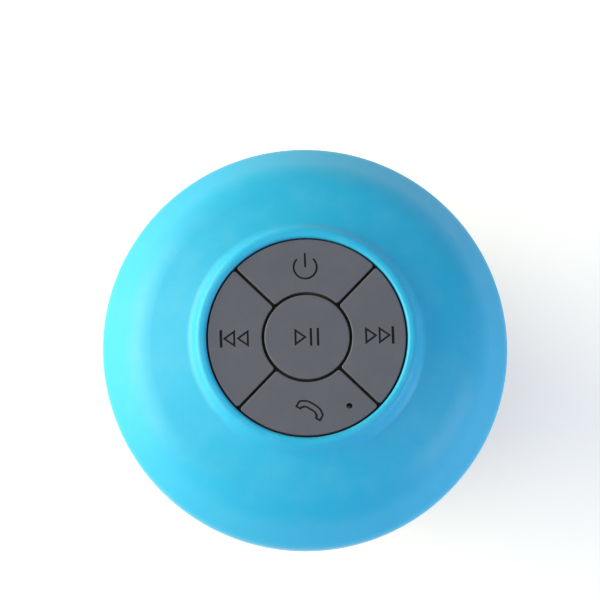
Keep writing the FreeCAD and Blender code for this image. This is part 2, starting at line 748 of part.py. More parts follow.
def arrow(drawing, x, way):
    """The outline of a triangle whose base is at x and which points way."""
    half = s.icon_height / 2
    side = (half * half + s.arrow_length * s.arrow_length).root()
    incircle = s.arrow_length * half / (half + side)
    inner = 1 - s.icon_stroke / incircle
    drawing.outline((x, -half), (x + s.arrow_length * way, 0), (x, half))
    foot = x + s.icon_stroke * way
    tip = x + (incircle + (s.arrow_length - incircle) * inner) * way
    drawing.outline((foot, -half * inner), (tip, 0), (foot, half * inner))


def outer_key(label, turn):
    """One of the four ring keys, drawn on +Y and turned about Z."""
    body = new_body(label)
    drawing = Drawing(body, f"{label}_plan", "XY_Plane", (0, 0, key_bottom))
    inner = s.centre_key_radius + s.key_gap
    extrude(body, drawing.sector(s.key_gap / 2, inner, s.keys_radius), s.key_thickness)
    soften(body, "Fillet", s.key_corner, upright)
    soften_key(body)
    post(body, 0, key_place)
    body.Placement = FreeCAD.Placement(Vector(), FreeCAD.Rotation(Vector(0, 0, 1), turn))
    return body


def power_key():
    body = outer_key("power_key", 0)
    icon = icon_drawing(body, "ring", 0, key_place)
    radius, half = s.power_ring, s.icon_stroke / 2
    gap = math.radians(44)
    start, end = math.pi / 2 + gap, math.pi / 2 - gap + 2 * math.pi
    outer = icon.arc((0, 0), (radius + half).value, start, end)
    inner = icon.arc((0, 0), (radius - half).value, start, end)
    for arc, size in ((outer, radius + half), (inner, radius - half)):
        icon.join("Coincident", arc, 3, -1, 1)
        icon.hold("Radius", size, arc)
    for point, angle in ((1, start), (2, end)):
        spots = [((radius + side * half).value) for side in (-1, 1)]
        ends = [(spot * math.cos(angle), spot * math.sin(angle)) for spot in spots]
        line = icon.line(ends[0], ends[1])
        icon.join("Coincident", line, 1, inner, point)
        icon.join("Coincident", line, 2, outer, point)
        icon.join("PointOnObject", -1, 1, line)
        icon.sketch.addConstraint(Sketcher.Constraint("Angle", line, angle % (2 * math.pi)))
    sink_icon(body, icon)
    bar = icon_drawing(body, "bar", 0, key_place)
    bar.rectangle(0, radius * 0.62, s.icon_stroke, radius * 1.25)
    sink_icon(body, bar)


def skip_icon(body, way):
    """Two arrows and a bar; drawn for a key that is turned, so its x runs along the row's x."""
    icon = icon_drawing(body, "skip")
    icon.sketch.AttachmentOffset = FreeCAD.Placement(
        Vector(0, key_place.value, key_top.value),
        FreeCAD.Rotation(Vector(0, 0, 1), 90 * way),
    )
    icon.sketch.setExpression("AttachmentOffset.Base.y", key_place.formula)
    icon.sketch.setExpression("AttachmentOffset.Base.z", key_top.formula)
    start = s.arrow_length * -way
    arrow(icon, start, way)
    arrow(icon, start + s.arrow_length * 1.08 * way, way)
    bar_place = start + (s.arrow_length * 2.12 + s.icon_stroke * 0.6) * way
    icon.rectangle(bar_place, 0, s.icon_stroke * 1.4, s.icon_height)
    sink_icon(body, icon)


def call_key():
    body = outer_key("call_key", 180)
    place = (-s.mic_x, -s.mic_y, key_bottom)
    hole = Drawing(body, "call_key_mic_hole", "XY_Plane", place)
    extrude(body, hole.circle(0, 0, s.mic_hole_radius), s.key_thickness, cut=True, flip=True)
    # the handset, an arched grip with two square cups, tipped towards the right
    icon = icon_drawing(body, "handset")
    across, along = -s.handset_x, key_place + s.handset_up
    icon.sketch.AttachmentOffset = FreeCAD.Placement(
        Vector(across.value, along.value, key_top.value),
        FreeCAD.Rotation(Vector(0, 0, 1), 180 - HANDSET_TILT),
    )
    for axis, distance in zip("xyz", (across, along, key_top)):
        icon.sketch.setExpression(f"AttachmentOffset.Base.{axis}", distance.formula)
    handset(icon, Size.of(0))
    handset(icon, s.icon_stroke)
    sink_icon(body, icon)


def handset(icon, inset):
    """The handset's outline, set in by a distance; the island inside it stays at the key's face."""
    u = s.handset_unit
    right = [
        (u * 4.4 - inset, u * -1.9 + inset),
        (u * 4.4 - inset, u * 0.3 - inset * 0.5, u - inset),
        (u * 2.6 - inset * 0.5, u * 1.9 - inset, u * 4.4 - inset),
    ]
    left = [(-x, *rest) for x, *rest in reversed(right)]
    hollow = u * 1.5 + inset
    grip = [
        (u * -2.5 - inset, u * -1.9 + inset),
        (u * -2.1 - inset * 0.6, u * -0.45 + inset, hollow),
        (u * 2.1 + inset * 0.6, u * -0.45 + inset, hollow),
        (u * 2.5 + inset, u * -1.9 + inset),
    ]
    icon.outline(*right, *left, *grip)


def play_pause_key():
    body = new_body("play_pause_key")
    drawing = Drawing(body, "play_plan", "XY_Plane", (0, 0, key_bottom))
    extrude(body, drawing.circle(0, 0, s.centre_key_radius), s.key_thickness)
    soften_key(body)
    post(body, 0, 0)
    icon = icon_drawing(body, "play")
    arrow(icon, -s.arrow_length, 1)
    for place in (0.31, 0.87):
        icon.rectangle(s.arrow_length * place, 0, s.icon_stroke * 1.2, s.icon_height)
    sink_icon(body, icon)


def keypad_web():
    """The dark rubber web seen in the gaps between the keys, with its clamped edge."""
    body = new_body("keypad_web")
    edge = s.keys_radius + s.web_gap
    web_top = key_top - s.web_sink
    inner_edge = s.centre_key_radius + s.web_gap
    profile = Drawing(body, "web_profile").outline(
        (inner_edge, carrier_top),
        (carrier_radius, carrier_top),
        (carrier_radius, ledge),
        (aperture - s.web_side_gap, ledge),
        (aperture - s.web_side_gap, web_top),
        (inner_edge, web_top),
    )
    revolve(body, profile)
    window = Drawing(body, "web_window", "XY_Plane", (0, 0, web_top))
    inner = s.centre_key_radius + s.key_gap - s.web_gap
    window.sector(s.key_gap / 2 - s.web_gap, inner, edge)
    made = extrude(body, window, web_top - carrier_top, cut=True)
    repeat(body, [made], 4, adds=False)


def key_carrier():
    """The hard frame that guides the keys, holds the board and takes the housing screws."""
    body = new_body("key_carrier")
    skirt_inner = carrier_radius - s.carrier_skirt
    profile = Drawing(body, "carrier_profile").outline(
        (0, carrier_under),
        (skirt_inner, carrier_under),
        (skirt_inner, board_bottom),
        (carrier_flange_radius, board_bottom),
        (carrier_flange_radius, flange_top),
        (carrier_radius, flange_top),
        (carrier_radius, carrier_top),
        (0, carrier_top),
    )
    revolve(body, profile)
    bosses = Drawing(body, "carrier_boss", "XY_Plane", (0, 0, board_top))
    bosses.circle(s.board_screw_place * COS45, s.board_screw_place * COS45, s.small_boss)
    repeat(body, [extrude(body, bosses, s.board_drop)], 4)
    pilots = Drawing(body, "carrier_pilot", "XY_Plane", (0, 0, board_top))
    pilots.circle(s.board_screw_place * COS45, s.board_screw_place * COS45, s.small_thread)
    depth = s.board_drop + s.carrier_plate - s.pilot_floor
    repeat(body, [extrude(body, pilots, depth, cut=True, flip=True)], 4, adds=False)
    guides = Drawing(body, "carrier_guides", "XY_Plane", (0, 0, carrier_top))
    for x, y in key_places():
        guides.circle(x, y, s.post_radius + s.guide_gap)
    guides.circle(s.mic_x, s.mic_y, s.mic_hole_radius)
    extrude(body, guides, s.carrier_plate, cut=True)
    passes = Drawing(body, "carrier_screw_hole", "XY_Plane", (0, 0, flange_top))
    passes.circle(carrier_screw_place, 0, s.small_thread + s.screw_hole_gap)
    repeat(body, [extrude(body, passes, s.carrier_flange, cut=True)], 4, adds=False)
    # pillars down to the rear shell's
    place = pillar_place * COS45
    pillar = Drawing(body, "carrier_pillar", "XY_Plane", (0, 0, pillar_joint))
    pillar.circle(place, place, s.pillar_radius)
    repeat(body, [extrude(body, pillar, board_bottom - pillar_joint)], 4)
    bore = Drawing(body, "carrier_pillar_bore", "XY_Plane", (0, 0, pillar_joint))
    bore.circle(place, place, s.housing_thread)
    depth = s.housing_screw_length - s.pillar_seat + s.screw_end_gap
    repeat(body, [extrude(body, bore, depth, cut=True, flip=True)], 4, adds=False)


def key_places():
    return [
        (Size.of(0), key_place),
        (-key_place, Size.of(0)),
        (key_place, Size.of(0)),
        (Size.of(0), -key_place),
        (Size.of(0), Size.of(0)),
    ]


# Main board
def main_board():
    body = new_body("main_board")
    plan = Drawing(body, "board_plan", "XY_Plane", (0, 0, board_bottom))
    extrude(body, plan.circle(0, 0, board_radius), s.board_thickness)
    holes = Drawing(body, "board_hole", "XY_Plane", (0, 0, board_top))
    place = s.board_screw_place * COS45
    holes.circle(place, place, s.small_thread + s.screw_hole_gap)
    repeat(body, [extrude(body, holes, s.board_thickness, cut=True)], 4, adds=False)


def switches():
    """Five tactile switches: their bodies are one node, and each stem goes with its key."""
    body = new_body("switch_bodies", many=True)
    plan = Drawing(body, "switch_plan", "XY_Plane", (0, 0, board_top))
    for x, y in key_places():
        plan.rectangle(x, y, s.switch_width, s.switch_width)
    extrude(body, plan, s.switch_height)
    wells = Drawing(body, "switch_wells", "XY_Plane", (0, 0, switch_top))
    for x, y in key_places():
        wells.circle(x, y, s.stem_radius + s.running_gap)
    extrude(body, wells, s.stem_down + s.key_travel, cut=True)
    names = ("power", "previous", "next", "call", "play_pause")
    for name, (x, y) in zip(names, key_places()):
        sole = switch_top - s.stem_down
        turned(f"{name}_switch_stem", *ring_of(0, s.stem_radius, sole, stem_top), at=(x, y))


def microphone():
    mic_top = board_top + s.microphone_height
    at = (s.mic_x, s.mic_y)
    turned("microphone", *ring_of(0, s.microphone_radius, board_top, mic_top), at=at)
    turned(
        "microphone_boot",
        (s.microphone_radius, board_top),
        (2.5, board_top),
        (2.5, carrier_under),
        (s.mic_hole_radius, carrier_under),
        (s.mic_hole_radius, mic_top),
        (s.microphone_radius, mic_top),
        at=at,
    )


def board_parts():
    """The chips, the crystal, the indicator and the wire connectors."""
    block("status_led", 13.6, -11.4, 1.6, 0.8, board_top, board_top + 0.6)
    chip_under = board_bottom - s.chip_height
    block("bluetooth_chip", -4.5, 3.5, 6.0, 6.0, chip_under, board_bottom)
    block("amplifier_chip", 5.0, 4.0, 4.0, 5.0, chip_under, board_bottom)
    block("crystal", -4.5, -2.5, 3.2, 2.5, board_bottom - 0.7, board_bottom, 0.4)
    body = new_body("capacitors", many=True)
    plan = Drawing(body, "capacitor_plan", "XY_Plane", (0, 0, board_bottom))
    for x, y in ((0.7, 9.0), (0.7, 6.5), (0.7, 4.0), (4.0, -0.5), (7.0, -0.5), (-0.5, -3.5), (2.5, -3.5)):
        plan.rectangle(x, y, 1.6, 0.9)
    extrude(body, plan, 0.8, flip=True)
    under = board_bottom - s.connector_height
    block("speaker_connector", connector_place, 0, 3.0, 5.0, under, board_bottom)
    block("battery_connector", -connector_place, 0, 3.0, 5.0, under, board_bottom)
    block("charge_connector", 0, -connector_place, 5.0, 3.0, under, board_bottom)


# Driver
def driver():
    turned(
        "driver_gasket",
        *ring_of(baffle_hole, s.driver_radius, baffle_top, surround_under),
    )
    # the frame, a flanged cup of sheet steel with windows
    body = new_body("driver_basket")
    wall_foot = s.driver_radius - 1.6
    step = spider_height + s.spider_cloth
    profile = Drawing(body, "basket_profile").outline(
        (baffle_hole + 0.1, basket_front),
        (s.driver_radius, basket_front),
        (s.driver_radius, basket_front + s.basket_flange),
        (wall_foot, basket_front + s.basket_flange),
        (s.magnet_radius, basket_back - 1.8),
        (s.magnet_radius, basket_back),
        (gap_radius + 0.4, basket_back),
        (gap_radius + 0.4, basket_back - s.basket_sheet),
        (spider_outer - 1.2, basket_back - s.basket_sheet),
        (spider_outer - 1.2, step),
        (s.magnet_radius - s.basket_sheet * 0.9, step),
        (wall_foot - s.basket_sheet * 1.2, basket_front + s.basket_flange * 0.7),
        (baffle_hole + 0.1, basket_front + s.basket_flange * 0.5),
    )
    revolve(body, profile)
    window = Drawing(body, "basket_window", "XZ_Plane")
    foot = basket_front + s.basket_flange + 0.9
    head = basket_back - 2.6
    window.rectangle(0, (foot + head) / 2, 6.4, head - foot, 1.2)
    repeat(body, [extrude(body, window, s.driver_radius, cut=True, flip=True)], 6, adds=False)
    # what the air moves
    seat = surround_under + s.surround_thickness
    surround_profile(seat)
    neck = former_outer
    turned(
        "cone",
        (neck, cone_neck_height),
        (cone_radius, seat),
        (cone_radius, seat + s.cone_paper),
        (neck, cone_neck_height + s.cone_paper),
    )
    dust_cap(neck)
    turned(
        "voice_coil_former",
        *ring_of(s.former_radius, former_outer, cone_neck_height - 0.8, former_top),
    )
    middle = basket_back + s.top_plate_thickness / 2
    turned(
        "voice_coil",
        *ring_of(
            former_outer,
            winding_outer,
            middle - s.winding_length / 2,
            middle + s.winding_length / 2,
        ),
    )
    spider(former_outer)
    # the motor
    turned(
        "front_pole_plate",
        *ring_of(gap_radius, top_plate_radius, basket_back, top_plate_top),
    )
    turned("magnet", *ring_of(magnet_hole, s.magnet_radius, top_plate_top, magnet_top))
    turned(
        "yoke",
        (0, basket_back),
        (pole_radius, basket_back),
        (pole_radius, magnet_top),
        (yoke_radius, magnet_top),
        (yoke_radius, yoke_top, 0.5),
        (0, yoke_top),
    )
    flange_back = basket_front + s.basket_flange
    top = flange_back + s.terminal_height
    block("driver_terminals", terminal_place, 0, 2.2, 6.0, flange_back, top)


def surround_profile(seat):
    """A half roll of thin rubber between the cone and the frame's flange."""
    body = new_body("surround")
    middle = roll_middle
    outer, inner = s.roll_radius, s.roll_radius - s.surround_thickness
    drawing = Drawing(body, "surround_profile")
    big = drawing.arc((middle.value, seat.value), outer.value, math.pi, 2 * math.pi)
    small = drawing.arc((middle.value, seat.value), inner.value, math.pi, 2 * math.pi)
    for arc, size in ((big, outer), (small, inner)):
        drawing.place(arc, 3, middle, seat)
        drawing.hold("Radius", size, arc)
        drawing.hold("DistanceY", seat, -1, 1, arc, 1)
    left = drawing.line(
        ((middle - outer).value, seat.value), ((middle - inner).value, seat.value)
    )
    drawing.join("Coincident", left, 1, big, 1)
    drawing.join("Coincident", left, 2, small, 1)
    # the glued edge runs out over the frame's flange
    spots = [
        (middle + inner, seat),
        (s.driver_radius, seat),
        (s.driver_radius, surround_under),
        (middle + s.roll_radius * 0.98, surround_under),
    ]
    corners = [(x.value, y.value) for x, y in spots]
    top = drawing.line(corners[0], corners[1])
    side = drawing.line(corners[1], corners[2])
    foot = drawing.line(corners[2], corners[3])
    drawing.join("Coincident", top, 1, small, 2)
    drawing.join("Coincident", top, 2, side, 1)
    drawing.join("Coincident", side, 2, foot, 1)
    drawing.join("Coincident", foot, 2, big, 2)
    drawing.join("Horizontal", top)
    drawing.join("Vertical", side)
    drawing.hold("DistanceX", s.driver_radius, -1, 1, side, 1)
    drawing.hold("DistanceY", surround_under, -1, 1, side, 2)
    drawing.join("Horizontal", foot)
    revolve(body, drawing)


def dust_cap(neck):
    """A shallow dome that closes the middle of the cone, its crown towards the rear."""
    foot = cone_neck_height - 0.8
    turned(
        "dust_cap",
        (0, foot - 1.9),
        (neck * 0.55, foot - 1.6, 3),
        (neck, foot - 0.2),
        (neck, foot),
        (neck - 0.5, foot),
        (neck * 0.52, foot - 1.2, 3),
        (0, foot - 1.5),
    )


def spider(former_outer):
    """A corrugated cloth ring that centres the coil."""
    body = new_body("spider")
    low, wave = spider_height, Size.of(0.5)
    start, end = former_outer, spider_outer
    count = 5
    pitch = (end - start) / count
    under = [(start + pitch * i, low - (wave if i % 2 else Size.of(0))) for i in range(count)]
    over = [(x, y + s.spider_cloth) for x, y in reversed(under)]
    rim = [(end, low), (end, low + s.spider_cloth)]
    revolve(body, Drawing(body, "spider_profile").outline(*under, *rim, *over))


# Rear shell
def rear_shell():
    body = new_body("rear_shell")
    bore = s.stud_radius + s.running_gap
    land = rear_radius - s.rim_land
    land_foot = waist_height + (land + s.rear_side - waist_radius) * (
        (rear_edge - waist_height) / (rear_radius - waist_radius)
    )
    profile = Drawing(body, "rear_profile").outline(
        (bore, base_height),
        (base_radius, base_height, s.base_round),
        (waist_radius, waist_height, s.waist_round),
        (rear_radius, rear_edge),
        (rear_radius, rear_top),
        (seal_middle + s.seal_width / 2 + s.seal_side_gap, rear_top),
        (seal_middle + s.seal_width / 2 + s.seal_side_gap, seal_bottom),
        (seal_middle - s.seal_width / 2 - s.seal_side_gap, seal_bottom),
        (seal_middle - s.seal_width / 2 - s.seal_side_gap, rear_top),
        (land, rear_top),
        (land, land_foot),
        (upper_cone(baffle_top) - s.rear_side, baffle_top),
        (baffle_hole, baffle_top),
        (baffle_hole, baffle_under),
        (lower_cone(baffle_under) - s.rear_side, baffle_under),
        (lower_cone(floor_top) - s.rear_side, floor_top),
        (s.socket_boss_radius, floor_top),
        (s.socket_boss_radius, socket_boss_top),
        (bore, socket_boss_top),
    )
    revolve(body, profile)
    # the thick block round the charging port, then everything outside the cone trimmed away
    block_depth = 8
    port_back = port_floor - s.port_wall
    plan = Drawing(body, "port_block", "XZ_Plane", (0, 0, port_back))
    width = s.port_width + s.port_block_side * 2
    block_top = port_top + 1.9
    plan.rectangle(0, (baffle_top + block_top) / 2, width, block_top - baffle_top)
    extrude(body, plan, block_depth)
    trim = Drawing(body, "port_trim").outline(
        (upper_cone(baffle_top), baffle_top),
        (upper_cone(baffle_top) + 12, baffle_top),
        (upper_cone(baffle_top) + 12, rear_edge),
        (upper_cone(rear_edge), rear_edge),
    )
    revolve(body, trim, cut=True)
    recess = Drawing(body, "port_recess", "XZ_Plane", (0, 0, port_floor))
    recess.rectangle(
        0, (port_bottom + port_top) / 2, s.port_width, port_top - port_bottom, 0.8
    )
    extrude(body, recess, block_depth, cut=True, flip=True)
    mouth = Drawing(body, "port_mouth", "XZ_Plane", (0, 0, port_floor))
    mouth_foot = socket_height - 0.3
    mouth_head = socket_height + s.socket_thickness + 0.6
    mouth.rectangle(
        0, (mouth_foot + mouth_head) / 2, s.socket_width + 1.0, mouth_head - mouth_foot, 0.6
    )
    extrude(body, mouth, s.port_wall, cut=True)
    # the hollow under the cover's heel and the sockets for its pivot nubs
    start = s.port_width / 2
    scoop = Drawing(body, "hinge_scoop", "YZ_Plane", (0, 0, -start))
    scoop.circle(-hinge_out, hinge_height, s.hinge_scoop)
    extrude(body, scoop, s.port_width, cut=True, flip=True)
    nub_reach = s.port_width / 2 + s.nub_length - s.cover_gap + 0.2
    nubs = Drawing(body, "hinge_nubs", "YZ_Plane", (0, 0, -nub_reach))
    nubs.circle(-hinge_out, hinge_height, s.nub_radius + s.running_gap)
    extrude(body, nubs, nub_reach * 2, cut=True, flip=True)
    # sound slots
    slot = Drawing(body, "sound_slot", "XZ_Plane", (0, 0, base_radius - 6))
    slot.stadium(0, slot_height, s.slot_width, slot_length)
    made = extrude(body, slot, 14, cut=True, flip=True)
    repeat(body, [made], s.slot_count, adds=False)
    rear_pillars(body)
    # bosses for the driver's screws
    boss = Drawing(body, "driver_boss", "XY_Plane", (0, 0, baffle_under - s.driver_boss_height))
    boss.circle(0, driver_screw_place, s.small_boss)
    repeat(body, [extrude(body, boss, s.driver_boss_height)], 3)
    pilot = Drawing(body, "driver_pilot", "XY_Plane", (0, 0, baffle_top))
    pilot.circle(0, driver_screw_place, s.small_thread)
    depth = s.baffle_thickness + s.driver_pilot_past
    repeat(body, [extrude(body, pilot, depth, cut=True)], 3, adds=False)
    # posts for the charging board
    post_top = socket_height - s.charge_board_thickness
    posts = Drawing(body, "charge_posts", "XY_Plane", (0, 0, baffle_top))
    for side in (-1, 1):
        posts.circle(charge_screw_x * side, -charge_screw_y, s.small_boss)
    extrude(body, posts, post_top - baffle_top)
    pilots = Drawing(body, "charge_pilots", "XY_Plane", (0, 0, post_top))
    for side in (-1, 1):
        pilots.circle(charge_screw_x * side, -charge_screw_y, s.small_thread)
    extrude(body, pilots, post_top - baffle_top + 0.6, cut=True)


def rear_pillars(body):
    """Pillars from the base to the carrier's, each with a deep well for its screw's head."""
    place = pillar_place * COS45
    under_head = pillar_joint - s.pillar_seat
    pillar = Drawing(body, "rear_pillar", "XY_Plane", (0, 0, base_height))
    pillar.circle(place, place, s.pillar_radius)
    repeat(body, [extrude(body, pillar, pillar_joint - base_height)], 4)
    well = Drawing(body, "rear_pillar_well", "XY_Plane", (0, 0, under_head))
    well.circle(place, place, s.housing_head + s.head_gap)
    repeat(body, [extrude(body, well, under_head - base_height, cut=True)], 4, adds=False)
    hole = Drawing(body, "rear_pillar_hole", "XY_Plane", (0, 0, pillar_joint))
    hole.circle(place, place, s.housing_thread + s.screw_hole_gap)
    repeat(body, [extrude(body, hole, s.pillar_seat, cut=True)], 4, adds=False)


def grille_mesh():
    low, high = floor_top + s.mesh_end_gap, baffle_under - s.mesh_end_gap
    across = s.rear_side + s.mesh_gap
    turned(
        "grille_mesh",
        (lower_cone(low) - across - s.mesh_thickness, low),
        (lower_cone(low) - across, low),
        (lower_cone(high) - across, high),
        (lower_cone(high) - across - s.mesh_thickness, high),
    )


def rim_seal():
    half = s.seal_width / 2
    turned(
        "rim_seal",
        (seal_middle - half, seal_bottom, s.seal_round),
        (seal_middle + half, seal_bottom, s.seal_round),
        (seal_middle + half, seal_top, s.seal_round),
        (seal_middle - half, seal_top, s.seal_round),
    )


# Charging board, socket and cover
def charging():
    board_front = port_floor - s.port_wall - 0.3
    board_under = socket_height - s.charge_board_thickness
    body = new_body("charge_board")
    plan = Drawing(body, "charge_plan", "XY_Plane", (0, 0, board_under))
    middle = board_front - s.charge_board_depth / 2
    plan.rectangle(0, -middle, s.charge_board_width, s.charge_board_depth, 0.6)
    extrude(body, plan, s.charge_board_thickness)
    holes = Drawing(body, "charge_holes", "XY_Plane", (0, 0, socket_height))
    for side in (-1, 1):
        holes.circle(charge_screw_x * side, -charge_screw_y, s.small_thread + s.screw_hole_gap)
    extrude(body, holes, s.charge_board_thickness, cut=True)
    # the socket's folded shell, open towards the port, with its tongue
    body = new_body("charge_socket")
    mouth = port_floor - 1.4
    centre = socket_height + s.socket_thickness / 2
    shell = Drawing(body, "socket_front", "XZ_Plane", (0, 0, mouth))
    shell.rectangle(0, centre, s.socket_width, s.socket_thickness, 0.7)
    extrude(body, shell, s.socket_depth, flip=True)
    inside = Drawing(body, "socket_inside", "XZ_Plane", (0, 0, mouth))
    double = s.socket_wall * 2
    inside.rectangle(0, centre, s.socket_width - double, s.socket_thickness - double, 0.4)
    extrude(body, inside, s.socket_depth - 1.2, cut=True)
    tongue = Drawing(body, "socket_tongue", "XZ_Plane", (0, 0, mouth - 1.0))
    tongue.rectangle(0, centre + 0.25, 3.8, 0.6)
    extrude(body, tongue, s.socket_depth - 1.2, flip=True)
    block("charge_chip", 0, -board_front + s.charge_board_depth - 1.3, 3.0, 1.8, socket_height,
          socket_height + 0.8)


def port_cover():
    """The rubber flap over the charging port, rolled at its lower edge where it turns."""
    body = new_body("port_cover")
    back = port_floor + s.cover_seat_gap
    top = port_top - s.cover_gap
    half_width = s.port_width / 2 - s.cover_gap
    plan = Drawing(body, "cover_side", "YZ_Plane", (0, 0, -half_width)).outline(
        (-back, hinge_height),
        (-back - 8, hinge_height),
        (-back - 8, top),
        (-back - 1.0, top),
        (-back, top - 1.0),
    )
    extrude(body, plan, half_width * 2)
    roll = Drawing(body, "cover_roll", "YZ_Plane", (0, 0, -half_width))
    roll.circle(-hinge_out, hinge_height, s.hinge_radius)
    extrude(body, roll, half_width * 2)
    trim = Drawing(body, "cover_trim").outline(
        (upper_cone(port_bottom - 2), port_bottom - 2),
        (upper_cone(port_bottom - 2) + 12, port_bottom - 2),
        (upper_cone(port_bottom - 2) + 12, port_top + 2),
        (upper_cone(port_top + 2), port_top + 2),
    )
    revolve(body, trim, cut=True)
    soften(
        body,
        "Fillet",
        Size.of(0.8),
        lambda edge: abs(abs(edge.CenterOfMass.x) - half_width.value) < 1e-3
        and abs(edge.CenterOfMass.z - top.value) < 1e-3,
    )
    nub_reach = half_width + s.nub_length
    nubs = Drawing(body, "cover_nubs", "YZ_Plane", (0, 0, -nub_reach))
    nubs.circle(-hinge_out, hinge_height, s.nub_radius)
    extrude(body, nubs, nub_reach * 2)
    # the short plug that closes the socket's mouth, narrower at its tip
    root = Drawing(body, "cover_plug", "YZ_Plane", (0, 0, -s.socket_width / 2 + 0.3)).outline(
        (-back, socket_height + 0.1),
        (-back - 0.4, socket_height + 0.1),
        (-back - 0.4, socket_height + s.socket_thickness - 0.1),
        (-back, socket_height + s.socket_thickness - 0.1),
        (-back + 1.1, socket_height + s.socket_thickness - 0.8),
        (-back + 1.1, socket_height + 0.4),
    )
    extrude(body, root, s.socket_width - 0.6)


# Suction cup
def suction_cup():
    body = new_body("suction_cup")
    neck = s.cup_neck_radius
    flange_top_height = stud_flange_bottom + s.stud_flange
    hole = s.stud_radius + 0.05
    profile = Drawing(body, "cup_profile").outline(
        (hole, flange_top_height),
        (s.stud_flange_radius, flange_top_height),
        (s.stud_flange_radius, stud_flange_bottom),
        (0, stud_flange_bottom),
        (0, s.cup_hollow),
        (neck * 0.8, s.cup_hollow - 0.2, 10),
        (s.cup_radius * 0.76, s.cup_hollow * 0.5, 18),
        (s.cup_radius - s.cup_lip, 0),
        (s.cup_radius, 0),
        (s.cup_radius, 0.7, 0.3),
        (s.cup_radius * 0.78, s.cup_hollow * 0.5 + s.cup_wall * 0.9, 16),
        (neck, s.cup_hollow + s.cup_wall * 0.62, 3.0),
        (neck, s.cup_top, 1.0),
        (hole, s.cup_top),
    )
    revolve(body, profile)
    # the tab that peels the lip off the wall
    tab = Drawing(body, "cup_tab", "XY_Plane", (0, 0, 0))
    root = s.cup_radius - s.tab_overlap
    reach = s.cup_radius + s.tab_reach
    tab.outline(
        (s.tab_width / -2, root),
        (s.tab_width / 2, root),
        (s.tab_tip / 2, reach, s.tab_round),
        (s.tab_tip / -2, reach, s.tab_round),
    )
    extrude(body, tab, s.tab_thickness)


def stud_and_clip():
    flange_top_height = stud_flange_bottom + s.stud_flange
    turned(
        "cup_stud",
        (0, stud_flange_bottom),
        (s.stud_flange_radius, stud_flange_bottom),
        (s.stud_flange_radius, flange_top_height),
        (s.stud_radius, flange_top_height),
        (s.stud_radius, groove_foot),
        (s.clip_groove, groove_foot),
        (s.clip_groove, groove_head),
        (s.stud_radius, groove_head),
        (s.stud_radius, stud_top, 0.4),
        (0, stud_top),
    )
    body = new_body("stud_clip")
    clip_foot = groove_foot + 0.05
    drawing = Drawing(body, "clip_profile")
    inner = s.clip_groove + 0.05
    revolve(body, drawing.outline(*ring_of(inner, s.clip_radius, clip_foot, clip_foot + s.clip_thickness)))
    mouth = Drawing(body, "clip_mouth", "XY_Plane", (0, 0, clip_foot + s.clip_thickness))
    mouth.rectangle(0, s.clip_radius, 4.4, s.clip_radius * 2)
    extrude(body, mouth, s.clip_thickness, cut=True)
    turned(
        "slip_washer",
        *ring_of(s.stud_radius + 0.1, washer_radius, s.cup_top, s.cup_top + s.washer_thickness),
    )


# Battery, wires and screws
def battery():
    block("battery_tape", 0, 0, s.tape_side, s.tape_side, yoke_top, battery_bottom, 1.0)
    length = s.battery_length - protection_depth
    shift = Size.of(protection_depth / 2)
    body = block(
        "battery_cell", shift, 0, length, s.battery_width, battery_bottom,
        battery_top, 1.2,
    )
    bottom, top = battery_bottom.value, battery_top.value
    soften(body, "Fillet", Size.of(0.9), lambda e: level(e, bottom) or level(e, top))
    block(
        "battery_protection_board",
        -(s.battery_length - protection_depth) / 2,
        0,
        protection_depth * 0.9,
        s.battery_width * 0.8,
        battery_middle - 1.2,
        battery_middle + 1.2,
        0.3,
    )


def rounded_path(points):
    """Straight runs joined by tangent arcs as large as the shorter run beside each allows."""
    spots = [Vector(*point) for point in points]
    edges = []
    start = spots[0]
    for before, here, after in zip(spots, spots[1:], spots[2:]):
        back, ahead = before - here, after - here
        half = back.getAngle(ahead) / 2
        trim = 0.45 * min(back.Length, ahead.Length)
        back.normalize()
        ahead.normalize()
        first, last = here + back * trim, here + ahead * trim
        depth = trim / math.cos(half) - trim * math.tan(half)
        middle = here + (back + ahead).normalize() * depth
        edges.append(Part.LineSegment(start, first).toShape())
        edges.append(Part.Arc(first, middle, last).toShape())
        start = last
    edges.append(Part.LineSegment(start, spots[-1]).toShape())
    return Part.Wire(edges)


def wires(label, routes):
    """Insulated wires, each swept along its own route."""
    solids = []
    for route in routes:
        path = rounded_path([[Size.of(part).value for part in point] for point in route])
        first = path.Edges[0]
        along = first.tangentAt(first.FirstParameter)
        ring = Part.Wire(Part.makeCircle(s.wire_radius.value, path.Vertexes[0].Point, along))
        solid = path.makePipeShell([ring], True, False)
        solids.append(Part.Solid(solid) if solid.ShapeType == "Shell" else solid)
    node = doc.addObject("Part::Feature", label)
    node.Label = label
    node.Shape = Part.makeCompound(solids)
    subparts.append(node)


